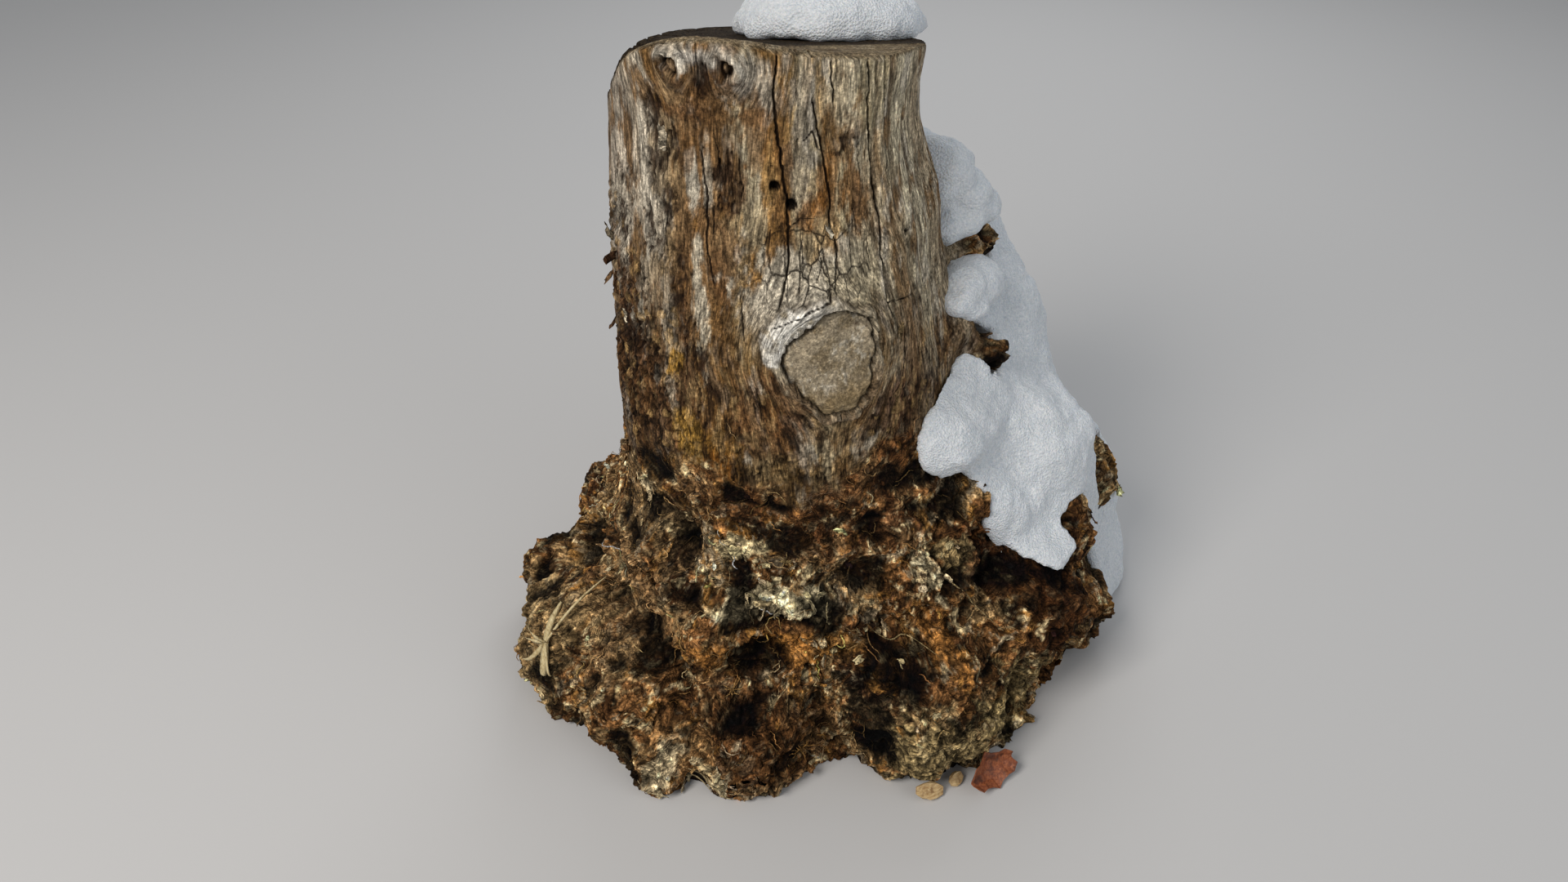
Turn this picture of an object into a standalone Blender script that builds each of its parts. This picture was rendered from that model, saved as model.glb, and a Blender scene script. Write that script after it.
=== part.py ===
"""A weathered tree stump: a cut trunk on a swollen basal burl, with the snow that lies on it.

Metres, +Z up. The origin is on the flat underside, below the trunk, and the front is -Y.
The wood is worked out as a reach: how far the surface stands from the trunk's middle line
in each direction (azimuth, in degrees from +X towards +Y) at each height.
"""

import math

import bmesh
import bpy
import numpy as np
from mathutils import Vector, noise
from mathutils.bvhtree import BVHTree

# Trunk
TOP_HEIGHT = 0.682  # the saw cut, over the middle line
TOP_FALL = 0.24  # the cut falls this much per metre towards the back
RIM_CHANGES = ((186.0, 30.0, -0.050), (250.0, 34.0, 0.018))  # its worn left shoulder and its standing front edge:
# azimuth, half width in degrees and rise of each
RIM_WEAR = 0.004
TRUNK_OUTLINE = ((0.00, 0.186), (0.20, 0.184), (0.36, 0.176), (0.46, 0.162), (0.55, 0.151), (0.64, 0.1435),
                 (0.72, 0.1465))
TRUNK_MIDDLE = ((0.00, 0.006), (0.36, 0.002), (0.52, -0.011), (0.72, -0.021))  # its lean to the left
FLUTES = ((3, 0.020, 40.0, 30.0), (5, 0.016, 100.0, -25.0), (9, 0.009, 20.0, 15.0))
# number, share of the reach, phase and twist of each set of flutes
SIDE_SWELLS = (
    (0.0, 45.0, ((0.50, 0.0), (0.535, 0.004), (0.565, 0.001), (0.59, -0.006), (0.62, -0.009), (0.655, -0.008),
                 (0.68, -0.004), (0.70, 0.0), (0.72, 0.004))),
    (197.0, 32.0, ((0.32, 0.0), (0.36, 0.005), (0.46, 0.006), (0.56, 0.005), (0.62, 0.003), (0.66, 0.0))),
)  # azimuth, half width in degrees, and the (height, rise) points of the flared right side and the rotten left

# Burl: the height at which it leaves the trunk, its reach at the ground and how steeply it falls
BURL_TOP = ((0, 0.36), (20, 0.50), (38, 0.585), (60, 0.52), (90, 0.38), (135, 0.28), (180, 0.22),
            (225, 0.25), (270, 0.29), (315, 0.33))
BURL_FOOT = ((0, 0.375), (20, 0.400), (45, 0.395), (70, 0.345), (90, 0.305), (120, 0.290), (150, 0.290),
             (172, 0.298), (195, 0.305), (231, 0.280), (255, 0.275), (283, 0.250), (300, 0.300),
             (318, 0.335), (335, 0.330), (350, 0.350))
BURL_FALL = ((0, 0.9), (38, 0.62), (90, 1.0), (180, 1.1), (225, 1.1), (270, 1.5), (315, 1.0))
LOBE_BLEND = 0.010
SWELLINGS = (0.012, 0.060)  # depth and size of the slow swellings between the lobes
KNOBS = (0.026, 0.046)  # depth and size of the close knobs that cover the burl
FOLDS = (0.009, 0.024)  # depth and size of the folds between the knobs

# Rounded lobes of the burl: azimuth, height, reach of the outermost point, radius
LOBES = (
    (327, 0.235, 0.232, 0.062), (336, 0.105, 0.350, 0.085), (304, 0.062, 0.338, 0.095),
    (283, 0.165, 0.228, 0.058), (259, 0.035, 0.310, 0.072), (249, 0.130, 0.248, 0.062),
    (229, 0.055, 0.312, 0.085), (206, 0.055, 0.332, 0.078), (201, 0.160, 0.212, 0.045),
    (226, 0.190, 0.226, 0.050), (183, 0.045, 0.318, 0.070), (165, 0.080, 0.262, 0.062),
    (150, 0.045, 0.305, 0.075), (137, 0.190, 0.232, 0.056), (118, 0.080, 0.302, 0.085),
    (98, 0.180, 0.268, 0.070), (88, 0.050, 0.322, 0.070), (66, 0.130, 0.355, 0.085),
    (60, 0.280, 0.295, 0.075), (50, 0.420, 0.250, 0.055), (39, 0.390, 0.292, 0.050),
    (36, 0.235, 0.358, 0.060), (30, 0.060, 0.412, 0.080), (20, 0.330, 0.272, 0.050),
    (11, 0.150, 0.398, 0.060), (358, 0.245, 0.300, 0.062), (350, 0.165, 0.350, 0.050),
    (351, 0.050, 0.380, 0.065), (312, 0.170, 0.262, 0.048), (272, 0.095, 0.245, 0.045),
    (240, 0.015, 0.328, 0.055), (215, 0.020, 0.322, 0.055), (16, 0.462, 0.236, 0.032),
    (357, 0.368, 0.232, 0.028), (350, 0.402, 0.196, 0.022),
)

# Cavities in the burl: azimuth, height, depth, half width, half height
CAVITIES = (
    (238, 0.235, 0.030, 0.016, 0.030), (288, 0.075, 0.045, 0.018, 0.045), (262, 0.110, 0.028, 0.017, 0.022),
    (288, 0.215, 0.026, 0.020, 0.014), (300, 0.150, 0.022, 0.024, 0.012), (222, 0.115, 0.026, 0.015, 0.026),
    (325, 0.165, 0.026, 0.014, 0.024), (190, 0.120, 0.030, 0.020, 0.020), (160, 0.060, 0.030, 0.020, 0.026),
    (125, 0.170, 0.030, 0.024, 0.030), (318, 0.040, 0.024, 0.026, 0.014), (250, 0.055, 0.024, 0.022, 0.014),
)

# Healed branch scar and the two small knots by the rim: azimuth, height
SCAR = (284.5, 0.460)
SCAR_RADIUS = 0.058
SCAR_SWELL = 0.008
COLLAR_HEIGHT = 0.009
RIM_KNOTS = ((243.5, 0.706), (260.5, 0.708))
KNOT_RADIUS = 0.017
KNOT_HEIGHT = 0.010

# Drying checks in the trunk: width, depth, and the (azimuth, height) points that each runs through
CHECKS = (
    (0.0045, 0.022, ((276.0, 0.712), (274.7, 0.670), (276.5, 0.605), (276.3, 0.556), (272.0, 0.508))),
    (0.0040, 0.020, ((287.2, 0.683), (289.7, 0.642), (291.3, 0.600), (292.2, 0.551), (290.2, 0.520))),
    (0.0040, 0.020, ((306.8, 0.694), (308.7, 0.624), (310.3, 0.568), (309.2, 0.510), (309.5, 0.475))),
)
BORINGS = ((273.1, 0.610), (278.2, 0.594), (323.4, 0.544))  # beetle exit holes
BORING_RADIUS = 0.0045
BORING_DEPTH = 0.025

# The mesh: columns round the trunk, and rows closer together where the burl and the scar are
COLUMNS = 92
ROW_HEIGHTS = (*np.arange(0.0, 0.300, 0.0150), *np.linspace(0.305, 0.375, 4),
               *np.linspace(0.390, 0.530, 11), *np.linspace(0.555, 0.682, 5))
CUT_RINGS = (0.95, 0.72, 0.45, 0.2)  # shares of the reach, on the cut face

# Snow on the flank: azimuth, height, spread and depth of each heap, negative where a knob is left bare
SEAT_GAP = 0.0005
SNOW_THRESHOLD = 0.014
SNOW_HEAPS = (
    (337, 0.322, 0.048, 0.046), (322, 0.318, 0.026, 0.030), (352, 0.275, 0.075, 0.042),
    (337.5, 0.186, 0.030, 0.046), (337, 0.225, 0.034, 0.036), (6, 0.240, 0.090, 0.036), (13, 0.375, 0.070, 0.036),
    (25, 0.460, 0.080, 0.036), (38, 0.535, 0.055, 0.042), (50, 0.450, 0.085, 0.034),
    (30, 0.330, 0.100, 0.030), (15, 0.120, 0.100, 0.036), (2, 0.030, 0.080, 0.040),
    (25, 0.030, 0.110, 0.042), (50, 0.050, 0.110, 0.042), (60, 0.250, 0.120, 0.034),
    (80, 0.120, 0.110, 0.034), (76, 0.350, 0.085, 0.034), (93, 0.030, 0.085, 0.038),
    (352, 0.070, 0.050, -0.050), (348, 0.160, 0.028, -0.055), (347.5, 0.195, 0.018, -0.060),
    (5, 0.176, 0.040, -0.078),
    (36, 0.250, 0.036, -0.055), (40, 0.405, 0.034, -0.060), (15, 0.466, 0.034, -0.080),
    (357, 0.368, 0.021, -0.080), (350, 0.402, 0.014, -0.060),
)
SNOW_MOST_UNDER = 0.012  # how far the snow's form dips into the wood where there is none
SNOW_TOP = 0.62

# Snow on the cut: middle, half width across and front to back, height
CAP_MIDDLE = (0.040, 0.064)
CAP_HALF = (0.088, 0.060)
CAP_HEIGHT = 0.050
CAP_EDGE = 0.006
CAP_COLUMNS = 40
CAP_ROWS = (0.0, 0.10, 0.26, 0.45, 0.65, 0.84)

# Dry grass, a dead leaf and two wood chips caught at the foot
SHEET_THICKNESS = 0.0009
SEAT_STEP = 0.00005
GRASS_HUB = (211.5, 0.094)
BLADES = (
    (207.7, 0.125, 0.0080, 0.003), (203.5, 0.066, 0.0055, 0.012), (206.0, 0.050, 0.0060, 0.004),
    (214.0, 0.062, 0.0095, 0.003),
)  # azimuth and height of the tip, width and arch of each blade
BLADE_STEPS = 9
BLADE_CLEAR = 0.0017
BLADE_RISE = 0.0003
LEAF_PLACE = (308.0, 0.030)  # azimuth, height of its middle
LEAF_SIZE = (0.058, 0.036)
LEAF_LEAN = 50.0
LEAF_CURL = 0.007
CHIPS = ((296.5, 0.010, 0.030, 0.017, 0.007, -20.0), (302.5, 0.009, 0.017, 0.013, 0.005, 12.0))
# azimuth, height of the middle, length, width, thickness and turn of each chip


def clear_scene():
    for item in list(bpy.data.objects):
        bpy.data.objects.remove(item, do_unlink=True)


def material(name, colour, roughness):
    made = bpy.data.materials.new(name)
    made.use_nodes = True
    shader = made.node_tree.nodes["Principled BSDF"]
    shader.inputs["Base Color"].default_value = (*colour, 1.0)
    shader.inputs["Roughness"].default_value = roughness
    shader.inputs["Metallic"].default_value = 0.0
    return made


def through(table, x, period=None):
    """The value at x of a smooth curve through (x, value) points, closed on itself over a period."""
    places = [p for p, _ in table]
    values = [v for _, v in table]
    if period:
        x = places[0] + (x - places[0]) % period
        places = [places[-1] - period, *places, places[0] + period, places[1] + period]
        values = [values[-1], *values, values[0], values[1]]
    x = min(max(x, places[0]), places[-1])
    i = min(max(int(np.searchsorted(places, x, side="right")) - 1, 0), len(places) - 2)
    before, after = max(i - 1, 0), min(i + 2, len(places) - 1)
    span = places[i + 1] - places[i]
    slope_in = (values[i + 1] - values[before]) / (places[i + 1] - places[before]) * span
    slope_out = (values[after] - values[i]) / (places[after] - places[i]) * span
    t = (x - places[i]) / span
    return ((2 * t**3 - 3 * t**2 + 1) * values[i] + (t**3 - 2 * t**2 + t) * slope_in
            + (3 * t**2 - 2 * t**3) * values[i + 1] + (t**3 - t**2) * slope_out)


def smooth_step(x):
    x = min(max(x, 0.0), 1.0)
    return x * x * (3 - 2 * x)


def angle_between(a, b):
    return (a - b + 180.0) % 360.0 - 180.0


def middle(height):
    """The trunk's middle line, which leans a little to the left."""
    return Vector((through(TRUNK_MIDDLE, height), 0.0, height))


def place(azimuth, height, reach):
    turn = math.radians(azimuth)
    return middle(height) + Vector((reach * math.cos(turn), reach * math.sin(turn), 0.0))


def trunk_reach(azimuth, height):
    flutes = sum(
        share * math.sin(math.radians(number * azimuth + phase + twist * height * number))
        for number, share, phase, twist in FLUTES
    )
    reach = through(TRUNK_OUTLINE, height) * (1.0 + flutes)
    for swell_azimuth, half_width, rises in SIDE_SWELLS:
        near = math.exp(-((angle_between(azimuth, swell_azimuth) / half_width) ** 2))
        reach += near * through(rises, height)
    return reach


def burl_reach(azimuth, height):
    """How far the burl's slope stands out from the trunk."""
    share = min(height / through(BURL_TOP, azimuth, 360), 1.0)
    spread = through(BURL_FOOT, azimuth, 360) - TRUNK_OUTLINE[0][1]
    return spread * (1.0 - share) ** through(BURL_FALL, azimuth, 360)


def lobe_reach(lobe, azimuth, height):
    """Where a level line from the trunk's middle leaves the lobe's ball, or None if it misses it."""
    lobe_azimuth, lobe_height, furthest, radius = lobe
    turn = math.radians(angle_between(azimuth, lobe_azimuth))
    if abs(turn) >= math.pi / 2:
        return None
    distance = furthest - radius
    under = radius**2 - (height - lobe_height) ** 2 - (distance * math.sin(turn)) ** 2
    return distance * math.cos(turn) + math.sqrt(under) if under > 0 else None


def softer_maximum(a, b):
    return (a + b + math.sqrt((a - b) ** 2 + LOBE_BLEND**2)) / 2


def scar_relief(azimuth, height, reach):
    """The callus collar that has grown round the cut branch, on a slight swelling."""
    across = math.radians(angle_between(azimuth, SCAR[0])) * reach
    ring = math.hypot(across, height - SCAR[1]) / SCAR_RADIUS
    swell = SCAR_SWELL * math.exp(-((ring / 1.5) ** 2))
    return swell + COLLAR_HEIGHT * math.exp(-(((ring - 0.9) / 0.2) ** 2))


def knot_relief(azimuth, height, reach):
    total = 0.0
    for knot_azimuth, knot_height in RIM_KNOTS:
        across = math.radians(angle_between(azimuth, knot_azimuth)) * reach
        total += KNOT_HEIGHT * math.exp(-((math.hypot(across, height - knot_height) / KNOT_RADIUS) ** 2))
    return total


def burl_relief(point):
    """Knobs and folds, which crowd over the whole burl."""
    depth, size = KNOBS
    nearest = noise.voronoi(point / size)[0][0]
    knob = depth * (0.45 - nearest)
    depth, size = FOLDS
    return knob + depth * (noise.noise(point / size) - abs(noise.noise(point / size + Vector((9, 4, 2)))))


def cavity_relief(azimuth, height, reach):
    total = 0.0
    for cavity_azimuth, cavity_height, depth, half_width, half_height in CAVITIES:
        across = math.radians(angle_between(azimuth, cavity_azimuth)) * reach / half_width
        total -= depth * math.exp(-(across**2) - ((height - cavity_height) / half_height) ** 2)
    return total


def wood_reach(azimuth, height):
    trunk = trunk_reach(azimuth, height)
    burl = burl_reach(azimuth, height)
    depth, size = SWELLINGS
    swelling = noise.noise(place(azimuth, height, trunk + burl) / size)
    reach = trunk + burl + depth * swelling * smooth_step(burl / 0.03)
    for lobe in LOBES:
        found = lobe_reach(lobe, azimuth, height)
        if found:
            reach = softer_maximum(reach, found)
    share = smooth_step((reach - trunk) / 0.035)
    reach += share * burl_relief(place(azimuth, height, reach)) + cavity_relief(azimuth, height, reach)
    return reach + scar_relief(azimuth, height, reach) + knot_relief(azimuth, height, reach)


def cut_height(azimuth, share, y):
    """The height of the saw cut at a share of the way out to the rim, with the changes along its rim."""
    height = TOP_HEIGHT - TOP_FALL * y
    for rim_azimuth, half_width, rise in RIM_CHANGES:
        near = math.exp(-((angle_between(azimuth, rim_azimuth) / half_width) ** 2))
        height += rise * near * smooth_step((share - 0.4) / 0.6)
    return height


def rim_height(azimuth):
    y = math.sin(math.radians(azimuth)) * TRUNK_OUTLINE[-1][1]
    return cut_height(azimuth, 1.0, y) - RIM_WEAR


AZIMUTHS = [360.0 * i / COLUMNS for i in range(COLUMNS)]


def reach_grid():
    """The wood's reach at every row and column, and the height of each of those points."""
    heights = np.array([[rim_height(a) * h / TOP_HEIGHT for a in AZIMUTHS] for h in ROW_HEIGHTS])
    reaches = np.array([[wood_reach(a, z) for a, z in zip(AZIMUTHS, row)] for row in heights])
    return heights, reaches


def closed_rows(name, rows, surface):
    """A closed mesh over rows of points: bands split the same way, and a flat face at each end."""
    mesh = bmesh.new()
    rings = [[mesh.verts.new(point) for point in row] for row in rows]
    count = len(rings[0])
    for low, high in zip(rings, rings[1:]):
        for i in range(count):
            j = (i + 1) % count
            mesh.faces.new((low[i], low[j], high[j]))
            mesh.faces.new((low[i], high[j], high[i]))
    mesh.faces.new(rings[0][::-1])
    mesh.faces.new(rings[-1])
    data = bpy.data.meshes.new(name)
    mesh.to_mesh(data)
    mesh.free()
    data.materials.append(surface)
    data.shade_smooth()
    made = bpy.data.objects.new(name, data)
    bpy.context.scene.collection.objects.link(made)
    return made


def cutter(made):
    made.hide_render = True
    made.display_type = "WIRE"
    return made


def subtract(target, name, tool):
    cut = target.modifiers.new(name, "BOOLEAN")
    cut.operation = "DIFFERENCE"
    cut.solver = "EXACT"
    cut.object = tool


def check_cutter(index, width, depth, points, surface):
    """A thin wavy wedge, its two outer edges clear of the surface and its inner edge in the wood."""
    clear = 0.006
    mesh = bmesh.new()
    sections = []
    for n, (azimuth, height) in enumerate(points):
        taper = 0.35 if n in (0, len(points) - 1) else 1.0
        reach = wood_reach(azimuth, height)
        aside = math.degrees(width / 2 * taper * (depth + clear) / depth / reach)
        sections.append([
            mesh.verts.new(place(azimuth - aside, height, reach + clear)),
            mesh.verts.new(place(azimuth + aside, height, reach + clear)),
            mesh.verts.new(place(azimuth, height, reach - depth * taper)),
        ])
    for high, low in zip(sections, sections[1:]):
        for i in range(3):
            j = (i + 1) % 3
            mesh.faces.new((high[i], low[i], low[j], high[j]))
    mesh.faces.new(sections[0])
    mesh.faces.new(sections[-1][::-1])
    bmesh.ops.triangulate(mesh, faces=mesh.faces)
    bmesh.ops.recalc_face_normals(mesh, faces=mesh.faces)
    data = bpy.data.meshes.new(f"check_cutter_{index}")
    mesh.to_mesh(data)
    mesh.free()
    data.materials.append(surface)
    made = bpy.data.objects.new(f"check_cutter_{index}", data)
    bpy.context.scene.collection.objects.link(made)
    return cutter(made)


def boring_cutter(index, azimuth, height):
    """A ten-sided drill that points at the trunk's middle."""
    reach = wood_reach(azimuth, height)
    data = bpy.data.meshes.new(f"boring_cutter_{index}")
    mesh = bmesh.new()
    bmesh.ops.create_cone(mesh, cap_ends=True, segments=10, depth=2 * BORING_DEPTH,
                          radius1=BORING_RADIUS, radius2=BORING_RADIUS)
    mesh.to_mesh(data)
    mesh.free()
    made = bpy.data.objects.new(f"boring_cutter_{index}", data)
    made.location = place(azimuth, height, reach)
    made.rotation_euler = (math.pi / 2, 0.0, math.radians(azimuth) + math.pi / 2)
    bpy.context.scene.collection.objects.link(made)
    return cutter(made)


def stump_wood(heights, reaches, surface):
    """Trunk and burl, grown as one piece, with the saw cut on top and the checks and borings cut in."""
    rows = [[place(a, z, r) for a, z, r in zip(AZIMUTHS, *row)] for row in zip(heights, reaches)]
    for share in CUT_RINGS:
        ring = []
        for azimuth, reach, height in zip(AZIMUTHS, reaches[-1], heights[-1]):
            point = place(azimuth, height, reach * share)
            point.z = cut_height(azimuth, share, point.y)
            ring.append(point)
        rows.append(ring)
    wood = closed_rows("stump_wood", rows, surface)
    for index, (width, depth, points) in enumerate(CHECKS):
        subtract(wood, f"check_{index}", check_cutter(index, width, depth, points, surface))
    for index, (azimuth, height) in enumerate(BORINGS):
        subtract(wood, f"boring_{index}", boring_cutter(index, azimuth, height))
    return wood


def blurred(grid, times):
    """The grid with each value drawn towards its neighbours, round the trunk and up it."""
    for _ in range(times):
        grid = (np.roll(grid, 1, axis=1) + 2 * grid + np.roll(grid, -1, axis=1)) / 4
        padded = np.vstack((grid[:1], grid, grid[-1:]))
        grid = (padded[:-2] + 2 * grid + padded[2:]) / 4
    return grid


def snow_depth(point, heaps):
    total = -SNOW_THRESHOLD
    for centre, spread, heap in heaps:
        total += heap * math.exp(-(point - centre).length_squared / spread**2)
    return total


def snow_drift(heights, reaches, surface):
    """The snow on the right flank: a softer form over the burl, less the burl itself."""
    rows = [n for n, h in enumerate(ROW_HEIGHTS) if h <= SNOW_TOP]
    soft = blurred(reaches, 3)
    heaps = [(place(a, z, wood_reach(a, z)), spread, heap) for a, z, spread, heap in SNOW_HEAPS]
    form, hollow = [], []
    for n in rows:
        outer, inner = [], []
        for azimuth, height, reach, softer in zip(AZIMUTHS, heights[n], reaches[n], soft[n]):
            depth = snow_depth(place(azimuth, height, reach), heaps)
            standing = max(softer, reach - 0.4 * depth) + depth if depth > 0 else reach + depth
            standing = max(standing, reach - SNOW_MOST_UNDER)
            outer.append(place(azimuth, height, standing))
            inner.append(place(azimuth, height, reach + SEAT_GAP))
        form.append(outer)
        hollow.append(inner)
    below = [point - Vector((0, 0, 0.02)) for point in hollow[0]]
    above = [point + Vector((0, 0, 0.06)) for point in hollow[-1]]
    drift = closed_rows("snow_drift", form, surface)
    inside = cutter(closed_rows("drift_cutter", [below, *hollow, above], surface))
    subtract(drift, "burl", inside)
    return drift


def snow_cap(surface):
    """A rounded cushion of snow on the lower, back half of the saw cut."""
    centre = Vector((*CAP_MIDDLE, 0.0))
    outline = []
    for i in range(CAP_COLUMNS):
        turn = 2 * math.pi * i / CAP_COLUMNS
        wave = 1.0 + 0.06 * math.sin(3 * turn + 0.8) + 0.035 * math.sin(7 * turn)
        across, back = CAP_HALF
        outline.append(Vector((across * math.cos(turn), back * math.sin(turn), 0.0)) * wave)
    rows = []
    for level, rise in [(0.0, 0.0), *((share, None) for share in CAP_ROWS)]:
        ring = []
        for offset in outline:
            swell = 0.035 * (1 - level) * (rise is None)
            point = centre + offset * ((1 - level**1.6) * (1 + swell))
            floor = TOP_HEIGHT - TOP_FALL * point.y + SEAT_GAP
            dome = CAP_EDGE + (CAP_HEIGHT - CAP_EDGE) * math.sqrt(1 - (1 - level**1.6) ** 2)
            lump = 0.004 * noise.noise(point / 0.03) * level
            point.z = floor + (dome + lump if rise is None else 0.0)
            ring.append(point)
        rows.append(ring)
    return closed_rows("snow_cap", rows, surface)


def evaluated(target):
    return bpy.data.meshes.new_from_object(target.evaluated_get(bpy.context.evaluated_depsgraph_get()))


def surface_tree(target):
    data = evaluated(target)
    points = [v.co.copy() for v in data.vertices]
    tree = BVHTree.FromPolygons(points, [tuple(face.vertices) for face in data.polygons])
    bpy.data.meshes.remove(data)
    return tree


def outward(azimuth):
    turn = math.radians(azimuth)
    return Vector((math.cos(turn), math.sin(turn), 0.0))


def on_wood(tree, azimuth, height):
    """The wood's surface where a level line from outside first meets it."""
    hit = tree.ray_cast(middle(height) + outward(azimuth), -outward(azimuth))
    return hit[0]


def seated(points, tree, azimuth):
    """The points moved level, in towards the wood, until the nearest stands the seat's gap away."""
    away = outward(azimuth)
    shift = 0.0
    while shift > -0.1 and min((tree.find_nearest(p + away * shift)[3] for p in points)) > SEAT_GAP:
        shift -= SEAT_STEP
    return [p + away * shift for p in points]


def sheet_solid(name, rows, thickness, surface):
    """A closed thin solid over a grid of points, its back face set off along the grid's own normals."""
    mesh = bmesh.new()
    width = len(rows[0])
    grid = [[mesh.verts.new(point) for point in row] for row in rows]
    for low, high in zip(grid, grid[1:]):
        for i in range(width - 1):
            mesh.faces.new((low[i], low[i + 1], high[i + 1]))
            mesh.faces.new((low[i], high[i + 1], high[i]))
    mesh.normal_update()
    bmesh.ops.solidify(mesh, geom=mesh.faces[:], thickness=thickness)
    bmesh.ops.triangulate(mesh, faces=mesh.faces)
    bmesh.ops.recalc_face_normals(mesh, faces=mesh.faces)
    data = bpy.data.meshes.new(name)
    mesh.to_mesh(data)
    mesh.free()
    data.materials.append(surface)
    made = bpy.data.objects.new(name, data)
    bpy.context.scene.collection.objects.link(made)
    return made


def fused(name, pieces):
    """The pieces joined into one body by a union, under one name."""
    first, *rest = pieces
    group = bpy.data.collections.new(f"{name}_pieces")
    for piece in rest:
        group.objects.link(piece)
    union = first.modifiers.new("union", "BOOLEAN")
    union.operation = "UNION"
    union.solver = "EXACT"
    union.operand_type = "COLLECTION"
    union.collection = group
    bpy.context.view_layer.update()
    made = bpy.data.objects.new(name, evaluated(first))
    for piece in pieces:
        bpy.data.objects.remove(piece)
    bpy.data.collections.remove(group)
    bpy.context.scene.collection.objects.link(made)
    return made


def blade_rows(hub, tip, width, arch, away):
    """Three points across a blade at each step, from a little behind the hub out to the tip."""
    along = tip - hub
    across = along.cross(away).normalized()
    behind = -0.002 / along.length
    rows = []
    for n in range(BLADE_STEPS):
        share = behind + (1.0 - behind) * n / (BLADE_STEPS - 1)
        half = width / 2 * (0.35 + 0.65 * math.sin(math.pi * (0.25 + 0.70 * max(share, 0.0))))
        point = hub + along * share + away * (arch * math.sin(math.pi * share))
        rows.append([point - across * half, point, point + across * half])
    return rows


def stands_clear(rows, tree):
    """Whether a blade's points, and those halfway along between them, are all outside the wood."""
    between = [(a + b) / 2 for low, high in zip(rows, rows[1:]) for a, b in zip(low, high)]
    for point in [point for row in rows for point in row] + between:
        offset = point - middle(point.z)
        wood = on_wood(tree, math.degrees(math.atan2(offset.y, offset.x)), point.z) - middle(point.z)
        if offset.length < wood.length or tree.find_nearest(point)[3] < BLADE_CLEAR:
            return False
    return True


def grass_tuft(tree, surface):
    """Four dry blades that spread from one root, held out from the burl until all of them clear it."""
    away = outward(GRASS_HUB[0])
    root = on_wood(tree, *GRASS_HUB)
    rise = 0.0
    blades = []
    while not blades:
        rise += BLADE_RISE
        hub = root + away * rise
        for azimuth, height, width, arch in BLADES:
            tip = on_wood(tree, azimuth, height) + away * rise
            blades.append(blade_rows(hub, tip, width, arch + rise / 2, away))
        if not all(stands_clear(rows, tree) for rows in blades):
            blades = []
    made = [sheet_solid(f"blade_{n}", rows, SHEET_THICKNESS, surface) for n, rows in enumerate(blades)]
    return fused("grass_tuft", made)


def dead_leaf(tree, surface):
    """A broad dry leaf, curled along its rib, that stands on its edge and leans on the burl."""
    azimuth, height = LEAF_PLACE
    length, width = LEAF_SIZE
    away = outward(azimuth)
    along = Vector((-away.y, away.x, 0.0))
    lean = math.radians(LEAF_LEAN)
    up = Vector((0.0, 0.0, math.sin(lean))) - away * math.cos(lean)
    face = along.cross(up)
    start = on_wood(tree, azimuth, height) + away * 0.04
    points = []
    steps_along, steps_across = 9, 5
    for n in range(steps_along):
        share = n / (steps_along - 1)
        half = width / 2 * (0.12 + 0.88 * math.sin(math.pi * (0.06 + 0.88 * share)) ** 0.8)
        half *= 1.0 + 0.18 * math.sin(5 * math.pi * share)
        for m in range(steps_across):
            side = 2 * m / (steps_across - 1) - 1
            curl = LEAF_CURL * (side**2 + 0.9 * math.cos(math.pi * share) ** 2)
            points.append(start + along * length * (share - 0.5) + up * half * side + face * curl)
    lowest = min(point.z for point in points) - SHEET_THICKNESS
    points = [point - Vector((0.0, 0.0, lowest)) for point in points]
    points = seated(points, tree, azimuth)
    rows = [points[n * steps_across:(n + 1) * steps_across] for n in range(steps_along)]
    return sheet_solid("dead_leaf", rows, SHEET_THICKNESS, surface)


def wood_chip(index, tree, surface):
    """A split chip of wood, thinner at its ends, that lies against the foot."""
    azimuth, height, length, width, thickness, turn = CHIPS[index]
    away = outward(azimuth)
    along = Vector((-away.y, away.x, 0.0))
    start = on_wood(tree, azimuth, height) + away * 0.03
    mesh = bmesh.new()
    bmesh.ops.create_cube(mesh, size=1.0)
    bmesh.ops.subdivide_edges(mesh, edges=mesh.edges, cuts=3, use_grid_fill=True)
    lean = Vector((0.0, 0.0, 0.8)) - away * 0.6
    face = along.cross(lean)
    slant = math.radians(turn)
    for v in mesh.verts:
        taper = 1.0 - 0.55 * (2 * abs(v.co.x)) ** 2
        rough = 1.0 + 0.25 * noise.noise(v.co * 3.1 + Vector((index * 7.0, 0.0, 0.0)))
        a, b, c = v.co.x * length, v.co.y * width * taper * rough, v.co.z * thickness * taper
        a, b = a * math.cos(slant) - b * math.sin(slant), a * math.sin(slant) + b * math.cos(slant)
        v.co = start + along * a + lean * b + face * c
    lowest = min(v.co.z for v in mesh.verts) - SEAT_GAP
    moved = seated([v.co - Vector((0, 0, lowest)) for v in mesh.verts], tree, azimuth)
    for v, point in zip(mesh.verts, moved):
        v.co = point
    bmesh.ops.triangulate(mesh, faces=mesh.faces)
    bmesh.ops.recalc_face_normals(mesh, faces=mesh.faces)
    name = f"wood_chip_{index + 1}"
    data = bpy.data.meshes.new(name)
    mesh.to_mesh(data)
    mesh.free()
    data.materials.append(surface)
    made = bpy.data.objects.new(name, data)
    bpy.context.scene.collection.objects.link(made)
    return made


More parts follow.
